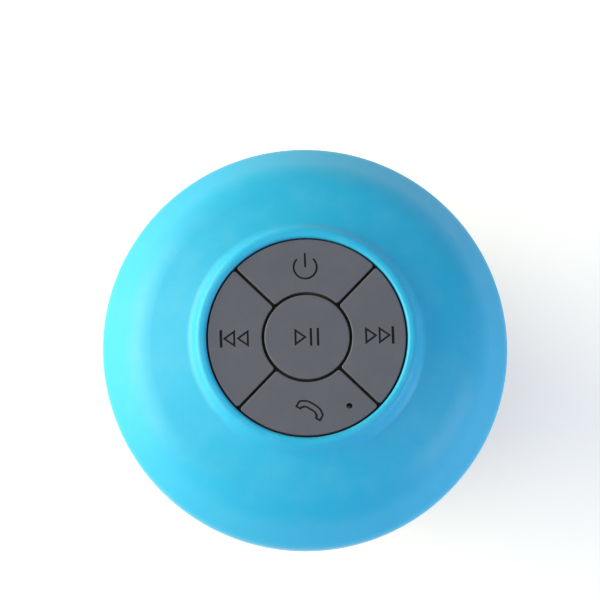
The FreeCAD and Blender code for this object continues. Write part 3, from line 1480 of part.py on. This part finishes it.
def all_wires():
    under = board_bottom - s.connector_height
    halves = (s.wire_pitch * -0.5, s.wire_pitch * 0.5)
    # speaker: from the driver's terminals up the side of the magnet to the main board
    tag = basket_front + s.basket_flange + s.terminal_height
    rise = under - tag
    wires(
        "speaker_wires",
        [
            [
                (terminal_place, y, tag),
                (terminal_place, y, tag + rise * 0.25),
                (terminal_place + 1.2, y, tag + rise * 0.55),
                (connector_place, y, under - rise * 0.18),
                (connector_place, y, under),
            ]
            for y in halves
        ],
    )
    # battery: out of the cell's end and up
    end = -s.battery_length / 2 - 0.03 + 0.15
    wires(
        "battery_wires",
        [
            [
                (end, y, battery_middle),
                (-connector_place, y, battery_middle),
                (-connector_place, y, under),
            ]
            for y in halves
        ],
    )
    # charging: from the small board up to the main board
    foot = socket_height
    solder_y = -(port_floor - s.port_wall - 0.3 - s.charge_board_depth + 0.9)
    rise = under - foot
    wires(
        "charge_wires",
        [
            [
                (x, solder_y, foot),
                (x, solder_y, foot + rise * 0.3),
                (x, -connector_place - 1.5, foot + rise * 0.6),
                (x, -connector_place, under - rise * 0.15),
                (x, -connector_place, under),
            ]
            for x in (s.wire_pitch * -1.6, s.wire_pitch * 1.6)
        ],
    )


def all_screws():
    small = (s.small_thread, s.small_head, s.small_head_height)
    place = s.board_screw_place * COS45
    end = board_top + s.board_drop - 0.4
    screw("board_screws", (place, place), 4, board_bottom, end, *small)
    screw("carrier_screws", (carrier_screw_place, 0), 4, board_bottom, flange_top + 2.0, *small)
    flange_back = basket_front + s.basket_flange
    screw(
        "driver_screws", (0, driver_screw_place), 3, flange_back, baffle_under - 1.4, *small,
        up=-1,
    )
    seat = pillar_joint - s.pillar_seat
    place = pillar_place * COS45
    screw(
        "housing_screws", (place, place), 4, seat, seat + s.housing_screw_length,
        s.housing_thread, s.housing_head, s.housing_head_height,
    )
    charge_screws(small)


def charge_screws(small):
    """Two screws, mirrored, so their half turn about Z isn't used."""
    body = new_body("charge_board_screws", many=True)
    thread, head, height = small
    for side, name in ((-1, "left"), (1, "right")):
        shift = (charge_screw_x * side, 0, charge_screw_y)
        seat = socket_height
        profile = Drawing(body, f"charge_screw_{name}", "XZ_Plane", shift).outline(
            (0, seat + height),
            (head, seat + height, height * 0.35),
            (head, seat),
            (thread, seat),
            (thread, baffle_top - 0.3),
            (0, baffle_top - 0.3),
        )
        revolve(body, profile)


# Build, check and write
front_shell()
power_key()
skip_icon(outer_key("previous_key", 90), -1)
skip_icon(outer_key("next_key", -90), 1)
call_key()
play_pause_key()
keypad_web()
key_carrier()
main_board()
switches()
microphone()
board_parts()
driver()
rear_shell()
grille_mesh()
rim_seal()
charging()
port_cover()
suction_cup()
stud_and_clip()
battery()
all_wires()
all_screws()
doc.recompute()

faults = [o.Name for o in doc.Objects if "Invalid" in o.State or "Error" in o.State]
for node in subparts:
    if node.Shape.isNull() or not node.Shape.isValid() or not node.Shape.Solids:
        faults.append(node.Label)
if faults:
    raise RuntimeError(f"these did not build: {faults}")
os.makedirs("parts", exist_ok=True)
for node in subparts:
    node.Shape.exportStep(os.path.join("parts", f"{node.Label}.step"))
print(f"{len(subparts)} sub-parts written")
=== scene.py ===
import json
import math

import bmesh
import bpy
from mathutils import Matrix, Vector


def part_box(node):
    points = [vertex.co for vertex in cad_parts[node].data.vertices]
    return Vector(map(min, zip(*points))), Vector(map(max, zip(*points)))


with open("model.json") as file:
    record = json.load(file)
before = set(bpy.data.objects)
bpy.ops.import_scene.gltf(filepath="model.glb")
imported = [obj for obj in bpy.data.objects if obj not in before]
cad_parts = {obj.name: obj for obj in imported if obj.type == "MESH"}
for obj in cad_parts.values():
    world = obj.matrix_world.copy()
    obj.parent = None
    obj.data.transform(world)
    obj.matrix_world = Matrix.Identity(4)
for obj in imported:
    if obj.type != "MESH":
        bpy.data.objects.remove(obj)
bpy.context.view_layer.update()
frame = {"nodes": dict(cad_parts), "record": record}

print("frame loaded:", len(frame["nodes"]), "pieces")


def startGroup(name, inputs, outputs):
    group = bpy.data.node_groups.new(name, "ShaderNodeTree")
    for label, value in inputs:
        kind = "NodeSocketColor" if isinstance(value, tuple) else "NodeSocketFloat"
        socket = group.interface.new_socket(label, in_out="INPUT", socket_type=kind)
        socket.default_value = value
    for label, kind in outputs:
        group.interface.new_socket(label, in_out="OUTPUT", socket_type=kind)
    return group, group.nodes.new("NodeGroupInput"), group.nodes.new("NodeGroupOutput")


def addNode(tree, kind, **values):
    node = tree.nodes.new(kind)
    for key, value in values.items():
        setattr(node, key, value)
    return node


def feed(tree, value, socket):
    # a number or a colour is set, anything else is linked
    if isinstance(value, (int, float, tuple)):
        socket.default_value = value
    else:
        tree.links.new(value, socket)


def addMath(tree, operation, first, second=None, clamp=False):
    node = addNode(tree, "ShaderNodeMath", operation=operation, use_clamp=clamp)
    feed(tree, first, node.inputs[0])
    if second is not None:
        feed(tree, second, node.inputs[1])
    return node.outputs[0]


def addNoise(tree, coords, scale, detail, roughness):
    noise = addNode(tree, "ShaderNodeTexNoise")
    feed(tree, coords, noise.inputs["Vector"])
    feed(tree, scale, noise.inputs["Scale"])
    feed(tree, detail, noise.inputs["Detail"])
    feed(tree, roughness, noise.inputs["Roughness"])
    return noise.outputs["Fac"]


def addRange(tree, value, span, toLow=0.0, toHigh=1.0):
    # span is read first to last: a falling one turns the mask over
    node = addNode(tree, "ShaderNodeMapRange")
    feed(tree, value, node.inputs["Value"])
    feed(tree, span[0], node.inputs["From Min"])
    feed(tree, span[1], node.inputs["From Max"])
    feed(tree, toLow, node.inputs["To Min"])
    feed(tree, toHigh, node.inputs["To Max"])
    return node.outputs["Result"]


def mixColor(tree, mask, first, second):
    node = addNode(tree, "ShaderNodeMix", data_type="RGBA")
    feed(tree, mask, node.inputs["Factor"])
    colors = [socket for socket in node.inputs if socket.type == "RGBA"]
    feed(tree, first, colors[0])
    feed(tree, second, colors[1])
    return [socket for socket in node.outputs if socket.type == "RGBA"][0]


def splitAxes(tree, vector):
    split = addNode(tree, "ShaderNodeSeparateXYZ")
    feed(tree, vector, split.inputs[0])
    return split.outputs


def objectCoords(tree):
    return addNode(tree, "ShaderNodeTexCoord").outputs["Object"]


def mixShaders(tree, mask, first, second):
    pick = addNode(tree, "ShaderNodeMixShader")
    for slot, source in enumerate((mask, first, second)):
        tree.links.new(source, pick.inputs[slot])
    return pick.outputs[0]


grainValues = {
    "fineDetail": 3.0, "fineRoughness": 0.6, "cloudDetail": 4.0, "cloudRoughness": 0.55,
    "cloudSpan": (0.3, 0.7),
}


def buildGrain():
    # fine moulded grain, plus slow clouds that vary the gloss
    values = grainValues
    inputs = [("Grain Scale", 4000.0), ("Cloud Scale", 90.0), ("Gloss Low", 0.4), ("Gloss High", 0.5)]
    outputs = [(label, "NodeSocketFloat") for label in ("Height", "Clouds", "Roughness")]
    group, entry, leave = startGroup("mouldedGrain", inputs, outputs)
    coords = objectCoords(group)
    fine = addNoise(group, coords, entry.outputs["Grain Scale"], values["fineDetail"],
                    values["fineRoughness"])
    clouds = addNoise(group, coords, entry.outputs["Cloud Scale"], values["cloudDetail"],
                      values["cloudRoughness"])
    spread = addRange(group, clouds, values["cloudSpan"])
    gloss = addRange(group, clouds, values["cloudSpan"], entry.outputs["Gloss Low"],
                     entry.outputs["Gloss High"])
    group.links.new(fine, leave.inputs["Height"])
    group.links.new(spread, leave.inputs["Clouds"])
    group.links.new(gloss, leave.inputs["Roughness"])
    return group


wearValues = {
    "edgeSamples": 4, "edgeSpan": (0.995, 0.9), "patchDetail": 3.0, "patchRoughness": 0.6,
    "patchSpan": (0.4, 0.62),
}


def buildEdgeWear():
    # convex and concave edges, broken up so the wear isn't even
    values = wearValues
    inputs = [("Width", 0.0004), ("Patch Scale", 400.0)]
    group, entry, leave = startGroup("edgeWear", inputs, [("Mask", "NodeSocketFloat")])
    bevel = addNode(group, "ShaderNodeBevel", samples=values["edgeSamples"])
    group.links.new(entry.outputs["Width"], bevel.inputs["Radius"])
    flat = addNode(group, "ShaderNodeNewGeometry").outputs["Normal"]
    turn = addNode(group, "ShaderNodeVectorMath", operation="DOT_PRODUCT")
    group.links.new(bevel.outputs["Normal"], turn.inputs[0])
    group.links.new(flat, turn.inputs[1])
    edge = addRange(group, turn.outputs["Value"], values["edgeSpan"])
    patches = addNoise(group, objectCoords(group), entry.outputs["Patch Scale"], values["patchDetail"],
                       values["patchRoughness"])
    broken = addRange(group, patches, values["patchSpan"])
    group.links.new(addMath(group, "MULTIPLY", edge, broken, True), leave.inputs["Mask"])
    return group


filmValues = {
    "upwardSpan": (0.2, 0.95), "patchDetail": 5.0, "patchRoughness": 0.6, "patchSpan": (0.45, 0.7),
}


def buildFilm():
    # a thin film that settles on upward faces in soft patches
    values = filmValues
    inputs = [("Amount", 0.1), ("Patch Scale", 150.0)]
    group, entry, leave = startGroup("settledFilm", inputs, [("Mask", "NodeSocketFloat")])
    normal = addNode(group, "ShaderNodeNewGeometry").outputs["Normal"]
    upward = addRange(group, splitAxes(group, normal)["Z"], values["upwardSpan"])
    patches = addNoise(group, objectCoords(group), entry.outputs["Patch Scale"], values["patchDetail"],
                       values["patchRoughness"])
    both = addMath(group, "MULTIPLY", upward, addRange(group, patches, values["patchSpan"]))
    group.links.new(addMath(group, "MULTIPLY", both, entry.outputs["Amount"], True), leave.inputs["Mask"])
    return group


brushValues = {
    "stretch": (1.0, 0.05, 1.0), "lineDetail": 2.0, "lineRoughness": 0.5, "lineSpan": (0.3, 0.7),
}


def buildBrush():
    # fine turning or rolling lines for bare metal
    values = brushValues
    inputs = [("Line Scale", 9000.0), ("Gloss Low", 0.25), ("Gloss High", 0.45)]
    outputs = [("Height", "NodeSocketFloat"), ("Roughness", "NodeSocketFloat")]
    group, entry, leave = startGroup("rolledMetal", inputs, outputs)
    stretch = addNode(group, "ShaderNodeMapping")
    stretch.inputs["Scale"].default_value = values["stretch"]
    group.links.new(objectCoords(group), stretch.inputs["Vector"])
    lines = addNoise(group, stretch.outputs["Vector"], entry.outputs["Line Scale"], values["lineDetail"],
                     values["lineRoughness"])
    gloss = addRange(group, lines, values["lineSpan"], entry.outputs["Gloss Low"],
                     entry.outputs["Gloss High"])
    group.links.new(lines, leave.inputs["Height"])
    group.links.new(gloss, leave.inputs["Roughness"])
    return group


weaveValues = {"threadWobble": 0.4, "gapSpan": (0.75, 0.35)}


def buildWeave():
    # over-and-under threads
    inputs = [("Thread Scale", 1400.0)]
    outputs = [("Height", "NodeSocketFloat"), ("Gaps", "NodeSocketFloat")]
    group, entry, leave = startGroup("wovenThreads", inputs, outputs)
    coords = objectCoords(group)
    waves = []
    for axis in ("X", "Z"):
        wave = addNode(group, "ShaderNodeTexWave", bands_direction=axis)
        group.links.new(coords, wave.inputs["Vector"])
        group.links.new(entry.outputs["Thread Scale"], wave.inputs["Scale"])
        wave.inputs["Distortion"].default_value = weaveValues["threadWobble"]
        waves.append(wave.outputs["Fac"])
    top = addMath(group, "MAXIMUM", waves[0], waves[1])
    group.links.new(top, leave.inputs["Height"])
    group.links.new(addRange(group, top, weaveValues["gapSpan"]), leave.inputs["Gaps"])
    return group


shared = {
    "grain": buildGrain(),
    "wear": buildEdgeWear(),
    "film": buildFilm(),
    "brush": buildBrush(),
    "weave": buildWeave(),
}
print("shader groups built:", len(shared))


# the usual curve between screen colours and light
screenCurve = {"knee": 0.04045, "footSlope": 12.92, "offset": 0.055, "power": 2.4}


def toLinear(color):
    offset = screenCurve["offset"]
    light = []
    for part in color:
        if part > screenCurve["knee"]:
            light.append(((part + offset) / (1 + offset)) ** screenCurve["power"])
        else:
            light.append(part / screenCurve["footSlope"])
    return (*light, 1.0)


def startMaterial(name):
    material = bpy.data.materials.new(name)
    material.use_nodes = True
    tree = material.node_tree
    shader = [node for node in tree.nodes if node.type == "BSDF_PRINCIPLED"][0]
    return material, tree, shader


def placeGroup(tree, key, values):
    node = addNode(tree, "ShaderNodeGroup", node_tree=shared[key])
    for label, value in values.items():
        node.inputs[label].default_value = value
    return node


def placeGrain(tree, look):
    low, high = look["gloss"]
    moulded = {
        "Grain Scale": look["grain"], "Cloud Scale": look["clouds"], "Gloss Low": low, "Gloss High": high,
    }
    return placeGroup(tree, "grain", moulded)


def addBump(tree, shader, height, depth):
    bump = addNode(tree, "ShaderNodeBump")
    bump.inputs["Strength"].default_value = 1.0
    bump.inputs["Distance"].default_value = depth
    tree.links.new(height, bump.inputs["Height"])
    tree.links.new(bump.outputs["Normal"], shader.inputs["Normal"])


def makeMoulded(name, look):
    material, tree, shader = startMaterial(name)
    grain = placeGrain(tree, look)
    wear = placeGroup(tree, "wear", {"Width": look["wearWidth"], "Patch Scale": look["wearPatch"]})
    film = placeGroup(tree, "film", {"Amount": look["film"], "Patch Scale": look["filmPatch"]})
    base = mixColor(tree, grain.outputs["Clouds"], toLinear(look["color"]), toLinear(look["second"]))
    worn = addMath(tree, "MULTIPLY", wear.outputs["Mask"], look["wear"])
    base = mixColor(tree, worn, base, toLinear(look["worn"]))
    base = mixColor(tree, film.outputs["Mask"], base, toLinear(look["filmColor"]))
    tree.links.new(base, shader.inputs["Base Color"])
    dulled = addMath(tree, "MULTIPLY", film.outputs["Mask"], look["filmDulls"])
    rough = addMath(tree, "ADD", grain.outputs["Roughness"], dulled)
    tree.links.new(rough, shader.inputs["Roughness"])
    shader.inputs["Specular IOR Level"].default_value = look["specular"]
    shader.inputs["Sheen Weight"].default_value = look["sheen"]
    shader.inputs["Sheen Roughness"].default_value = look["sheenRough"]
    shader.inputs["Coat Weight"].default_value = look["coat"]
    shader.inputs["Coat Roughness"].default_value = look["coatRough"]
    shader.inputs["Subsurface Weight"].default_value = look["soft"]
    shader.inputs["Subsurface Scale"].default_value = look["softDepth"]
    addBump(tree, shader, grain.outputs["Height"], look["depth"])
    return material, tree, shader, base


plainLook = {
    "color": (0.1, 0.1, 0.1), "second": (0.12, 0.12, 0.12), "gloss": (0.45, 0.6), "grain": 5200.0,
    "clouds": 130.0, "depth": 0.00003, "wear": 0.35, "wearWidth": 0.0003, "wearPatch": 500.0,
    "worn": (0.3, 0.3, 0.3), "film": 0.1, "filmPatch": 180.0, "filmColor": (0.6, 0.59, 0.57),
    "specular": 0.5, "sheen": 0.0, "coat": 0.0, "soft": 0.0, "filmDulls": 0.3, "sheenRough": 0.4,
    "coatRough": 0.25, "softDepth": 0.001,
}

# what each moulded finish changes from the plain look
mouldedLooks = {
    "blue_soft_touch": {
        "color": (0.12, 0.662, 0.878), "second": (0.122, 0.664, 0.88), "gloss": (0.46, 0.5),
        "grain": 7000.0, "clouds": 60.0, "depth": 0.000012, "wear": 0.12, "worn": (0.5, 0.84, 0.94),
        "film": 0.04, "filmColor": (0.72, 0.88, 0.93), "sheen": 0.06, "specular": 0.42,
    },
    "dark_plastic": {
        "color": (0.105, 0.107, 0.115), "second": (0.13, 0.132, 0.14), "grain": 3800.0,
        "depth": 0.00005, "wear": 0.4, "worn": (0.26, 0.26, 0.27),
    },
    # the web's near-black colour is painted shade for the gaps between the keys
    "web_rubber": {
        "color": (0.03, 0.03, 0.033), "second": (0.045, 0.045, 0.05), "gloss": (0.6, 0.75),
        "wear": 0.1, "film": 0.05,
    },
    "cup_rubber": {
        "color": (0.13, 0.14, 0.15), "second": (0.16, 0.17, 0.18), "gloss": (0.22, 0.34),
        "grain": 2500.0, "depth": 0.00001, "wear": 0.2, "worn": (0.3, 0.31, 0.32), "film": 0.07,
        "filmPatch": 90.0, "coat": 0.25, "soft": 0.15,
    },
    "seal_rubber": {
        "color": (0.07, 0.07, 0.07), "second": (0.1, 0.1, 0.1), "gloss": (0.5, 0.65),
    },
    "surround_rubber": {
        "color": (0.05, 0.05, 0.05), "second": (0.075, 0.075, 0.075), "gloss": (0.35, 0.5),
        "depth": 0.00001,
    },
    "stem_plastic": {
        "color": (0.9, 0.88, 0.82), "second": (0.86, 0.84, 0.78), "gloss": (0.25, 0.35),
        "worn": (0.7, 0.68, 0.62),
    },
    "switch_plastic": {
        "color": (0.1, 0.1, 0.1), "second": (0.13, 0.13, 0.13), "gloss": (0.4, 0.55),
    },
    "chip_black": {
        "color": (0.06, 0.06, 0.065), "second": (0.09, 0.09, 0.09), "gloss": (0.5, 0.62),
        "grain": 9000.0, "depth": 0.00002,
    },
    "capacitor_tan": {
        "color": (0.62, 0.5, 0.36), "second": (0.56, 0.44, 0.31), "gloss": (0.35, 0.45),
        "worn": (0.8, 0.78, 0.74), "wear": 0.8,
    },
    "led_lens": {
        "color": (0.86, 0.9, 0.95), "second": (0.8, 0.86, 0.93), "gloss": (0.08, 0.14),
    },
    "nylon": {
        "color": (0.9, 0.89, 0.85), "second": (0.86, 0.85, 0.8), "gloss": (0.35, 0.5), "soft": 0.2,
        "worn": (0.75, 0.73, 0.68),
    },
    "wire_red": {
        "color": (0.62, 0.06, 0.05), "second": (0.55, 0.05, 0.04), "gloss": (0.3, 0.45),
        "worn": (0.7, 0.2, 0.16),
    },
    "wire_white": {
        "color": (0.86, 0.86, 0.83), "second": (0.8, 0.8, 0.77), "gloss": (0.3, 0.45),
        "worn": (0.7, 0.7, 0.66),
    },
    "former_film": {
        "color": (0.68, 0.42, 0.16), "second": (0.6, 0.36, 0.12), "gloss": (0.15, 0.28), "coat": 0.4,
    },
}


def makeAllMoulded():
    made = {}
    for name, changes in mouldedLooks.items():
        look = dict(plainLook)
        look.update(changes)
        made[name] = makeMoulded(name, look)[0]
    return made


keyLook = dict(plainLook)
keyLook.update({
    "color": (0.322, 0.332, 0.405), "second": (0.327, 0.337, 0.41), "gloss": (0.52, 0.58), "grain": 4200.0,
    "clouds": 110.0, "depth": 0.00004, "wear": 0.25, "worn": (0.5, 0.5, 0.52), "film": 0.03,
    # the last two entries give the painted shade's near-black colour and how deep past the key's top face it
    # starts
    "filmColor": (0.6, 0.62, 0.66), "sheen": 0.1, "under": (0.06, 0.06, 0.065), "shadeDepth": 0.00012,
})


def makeKeyRubber(keyTop):
    # grey only on the key's top face; its sides and the etched icons get painted shade, a near-black colour
    # standing in for the shade in the gaps and recesses
    material, tree, shader, base = makeMoulded("key_rubber", keyLook)
    height = splitAxes(tree, objectCoords(tree))["Z"]
    # lower than the key's top face, the colour is painted shade
    shadeMask = addMath(tree, "LESS_THAN", height, keyTop - keyLook["shadeDepth"])
    painted = mixColor(tree, shadeMask, base, toLinear(keyLook["under"]))
    tree.links.new(painted, shader.inputs["Base Color"])
    return material


metalShared = {"grain": 3000.0, "clouds": 260.0, "gloss": (0.4, 0.5), "depth": 0.00001}

metalLooks = {
    "screw_steel": {
        "color": (0.62, 0.62, 0.63), "stain": (0.45, 0.42, 0.4), "gloss": (0.25, 0.4), "lines": 8000.0,
    },
    "bright_steel": {
        "color": (0.75, 0.76, 0.78), "stain": (0.55, 0.55, 0.56), "gloss": (0.18, 0.32), "lines": 6000.0,
    },
    "magnet_steel": {
        "color": (0.5, 0.5, 0.52), "stain": (0.35, 0.35, 0.36), "gloss": (0.3, 0.45), "lines": 3000.0,
    },
    "copper": {
        "color": (0.78, 0.42, 0.25), "stain": (0.5, 0.24, 0.13), "gloss": (0.2, 0.35), "lines": 5000.0,
    },
    "solder_tags": {
        "color": (0.75, 0.72, 0.62), "stain": (0.6, 0.5, 0.3), "gloss": (0.2, 0.4), "lines": 2500.0,
    },
    "cell_foil": {
        "color": (0.82, 0.83, 0.85), "stain": (0.7, 0.71, 0.73), "gloss": (0.25, 0.45), "lines": 900.0,
    },
}


def makeMetals():
    made = {}
    for name, look in metalLooks.items():
        material, tree, shader = startMaterial(name)
        low, high = look["gloss"]
        brushed = {"Line Scale": look["lines"], "Gloss Low": low, "Gloss High": high}
        brush = placeGroup(tree, "brush", brushed)
        grain = placeGrain(tree, metalShared)
        base = mixColor(tree, grain.outputs["Clouds"], toLinear(look["color"]), toLinear(look["stain"]))
        tree.links.new(base, shader.inputs["Base Color"])
        tree.links.new(brush.outputs["Roughness"], shader.inputs["Roughness"])
        shader.inputs["Metallic"].default_value = 1.0
        addBump(tree, shader, brush.outputs["Height"], metalShared["depth"])
        made[name] = material
    return made


clothShared = {"grain": 5000.0, "clouds": 200.0, "gloss": (0.75, 0.9), "sheen": 0.2}

clothLooks = {
    "mesh_cloth": {
        "thread": (0.07, 0.07, 0.075), "gap": (0.01, 0.01, 0.01), "scale": 1500.0, "depth": 0.00008,
    },
    "cone_paper": {
        "thread": (0.11, 0.11, 0.11), "gap": (0.07, 0.07, 0.07), "scale": 600.0, "depth": 0.00002,
    },
    "spider_cloth": {
        "thread": (0.66, 0.5, 0.28), "gap": (0.4, 0.28, 0.13), "scale": 900.0, "depth": 0.00005,
    },
    "foam": {
        "thread": (0.1, 0.1, 0.1), "gap": (0.04, 0.04, 0.04), "scale": 700.0, "depth": 0.00006,
    },
}


def makeCloths():
    made = {}
    for name, look in clothLooks.items():
        material, tree, shader = startMaterial(name)
        weave = placeGroup(tree, "weave", {"Thread Scale": look["scale"]})
        grain = placeGrain(tree, clothShared)
        base = mixColor(tree, weave.outputs["Gaps"], toLinear(look["thread"]), toLinear(look["gap"]))
        tree.links.new(base, shader.inputs["Base Color"])
        tree.links.new(grain.outputs["Roughness"], shader.inputs["Roughness"])
        shader.inputs["Sheen Weight"].default_value = clothShared["sheen"]
        addBump(tree, shader, weave.outputs["Height"], look["depth"])
        made[name] = material
    return made


boardLook = {
    "mask": (0.03, 0.22, 0.13), "track": (0.05, 0.33, 0.2), "pad": (0.78, 0.66, 0.34),
    "trackScale": 520.0, "trackSpan": (0.52, 0.56), "trackDepth": 0.00003, "padScale": 380.0,
    "padSpan": (0.17, 0.14), "padMetal": 0.9, "grain": 2500.0, "clouds": 150.0, "gloss": (0.18, 0.3),
}


def makeBoard():
    material, tree, shader = startMaterial("circuit_board")
    coords = objectCoords(tree)
    cells = addNode(tree, "ShaderNodeTexVoronoi", distance="MANHATTAN", feature="F1")
    cells.inputs["Scale"].default_value = boardLook["trackScale"]
    tree.links.new(coords, cells.inputs["Vector"])
    tracks = addRange(tree, cells.outputs["Distance"], boardLook["trackSpan"])
    dots = addNode(tree, "ShaderNodeTexVoronoi", feature="F1")
    dots.inputs["Scale"].default_value = boardLook["padScale"]
    tree.links.new(coords, dots.inputs["Vector"])
    pads = addRange(tree, dots.outputs["Distance"], boardLook["padSpan"])
    base = mixColor(tree, tracks, toLinear(boardLook["mask"]), toLinear(boardLook["track"]))
    base = mixColor(tree, pads, base, toLinear(boardLook["pad"]))
    tree.links.new(base, shader.inputs["Base Color"])
    tree.links.new(addMath(tree, "MULTIPLY", pads, boardLook["padMetal"]), shader.inputs["Metallic"])
    tree.links.new(placeGrain(tree, boardLook).outputs["Roughness"], shader.inputs["Roughness"])
    addBump(tree, shader, tracks, boardLook["trackDepth"])
    return material


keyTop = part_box("play_pause_key")[1].z
finishes = makeAllMoulded()
finishes.update(makeMetals())
finishes.update(makeCloths())
finishes["circuit_board"] = makeBoard()
finishes["key_rubber"] = makeKeyRubber(keyTop)
slotOf = {part["node"]: part["material_slot"] for part in frame["record"]["subparts"]}
for nodeName, piece in frame["nodes"].items():
    piece.data.materials.clear()
    piece.data.materials.append(finishes[slotOf[nodeName]])
print("finishes given:", len(finishes))


stageValues = {
    "floorSize": 4.0, "floorSquares": 8, "floorColor": (0.92, 0.93, 0.95), "floorRough": 0.6,
    "floorGlow": 0.36, "worldColor": (1.0, 1.0, 1.0), "worldStrength": 0.3, "worldShown": 0.585,
    "lampAim": (0.0, 0.0, 0.04),
}


def makeFloor():
    grid = bmesh.new()
    squares = stageValues["floorSquares"]
    bmesh.ops.create_grid(grid, x_segments=squares, y_segments=squares, size=stageValues["floorSize"] / 2)
    mesh = bpy.data.meshes.new("floor")
    grid.to_mesh(mesh)
    grid.free()
    floor = bpy.data.objects.new("floor", mesh)
    bpy.context.scene.collection.objects.link(floor)
    material, tree, shader = startMaterial("floorPaper")
    shader.inputs["Base Color"].default_value = toLinear(stageValues["floorColor"])
    shader.inputs["Roughness"].default_value = stageValues["floorRough"]
    shader.inputs["Emission Color"].default_value = toLinear(stageValues["floorColor"])
    shader.inputs["Emission Strength"].default_value = stageValues["floorGlow"]
    # seen from underneath the floor is clear, so the suction cup shows
    side = addNode(tree, "ShaderNodeNewGeometry").outputs["Backfacing"]
    clear = addNode(tree, "ShaderNodeBsdfTransparent")
    mixed = mixShaders(tree, side, shader.outputs[0], clear.outputs[0])
    result = [node for node in tree.nodes if node.type == "OUTPUT_MATERIAL"][0]
    tree.links.new(mixed, result.inputs["Surface"])
    mesh.materials.append(material)


lampValues = {
    "bigLeft": {"place": (-0.8, 0.14, 0.36), "size": (1.1, 0.45), "power": 15.4, "color": (1.0, 0.96, 0.64)},
    "softRight": {"place": (0.7, -0.33, 0.4), "size": (0.3, 0.3), "power": 3.0, "color": (0.93, 0.97, 1.0)},
    "overhead": {"place": (-0.3, -0.45, 1.2), "size": (1.2, 1.2), "power": 3.05, "color": (1.0, 1.0, 1.0)},
}


def makeLamps():
    target = Vector(stageValues["lampAim"])
    for name, values in lampValues.items():
        light = bpy.data.lights.new(name, "AREA")
        light.shape = "RECTANGLE"
        light.size, light.size_y = values["size"]
        light.energy = values["power"]
        light.color = values["color"]
        lamp = bpy.data.objects.new(name, light)
        lamp.location = values["place"]
        lamp.rotation_euler = (target - lamp.location).to_track_quat("-Z", "Y").to_euler()
        bpy.context.scene.collection.objects.link(lamp)


def makeRoom():
    # the room lights the object softly and shows as pale as the far end of the floor
    world = bpy.data.worlds.new("roomLight")
    world.use_nodes = True
    tree = world.node_tree
    light = tree.nodes["Background"]
    shown = addNode(tree, "ShaderNodeBackground")
    for sky, strength in ((light, "worldStrength"), (shown, "worldShown")):
        sky.inputs["Color"].default_value = stageValues["worldColor"] + (1.0,)
        sky.inputs["Strength"].default_value = stageValues[strength]
    seen = addNode(tree, "ShaderNodeLightPath").outputs["Is Camera Ray"]
    mixed = mixShaders(tree, seen, light.outputs[0], shown.outputs[0])
    tree.links.new(mixed, tree.nodes["World Output"].inputs["Surface"])
    bpy.context.scene.world = world


cameraValues = {
    "elevation": 80.8, "towardsLeft": 8.6, "patternTurn": 1.4, "distance": 0.6, "lens": 169.1,
    "sideways": -0.00112, "upward": 0.01032, "height": 0.038, "nearest": 0.01,
}


def makeCamera():
    tilt = math.radians(cameraValues["elevation"])
    swing = math.radians(cameraValues["towardsLeft"])
    level = Vector((-math.sin(swing), -math.cos(swing), 0.0))
    outward = level * math.cos(tilt) + Vector((0.0, 0.0, math.sin(tilt)))
    side = Vector((math.cos(swing), -math.sin(swing), 0.0))
    roll = Matrix.Rotation(math.radians(cameraValues["towardsLeft"] - cameraValues["patternTurn"]), 3, "Z")
    turned = Matrix((side, outward.cross(side), outward)).transposed() @ roll
    aim = Vector((0.0, 0.0, cameraValues["height"]))
    aim += turned @ Vector((cameraValues["sideways"], cameraValues["upward"], 0.0))
    lens = bpy.data.cameras.new("camera")
    lens.lens = cameraValues["lens"]
    lens.clip_start = cameraValues["nearest"]
    camera = bpy.data.objects.new("camera", lens)
    camera.matrix_world = Matrix.Translation(aim + outward * cameraValues["distance"]) @ turned.to_4x4()
    bpy.context.scene.collection.objects.link(camera)
    bpy.context.scene.camera = camera


makeFloor()
makeLamps()
makeRoom()
makeCamera()
bpy.context.scene.view_settings.view_transform = "Standard"
print("stage, lamps and camera ready")
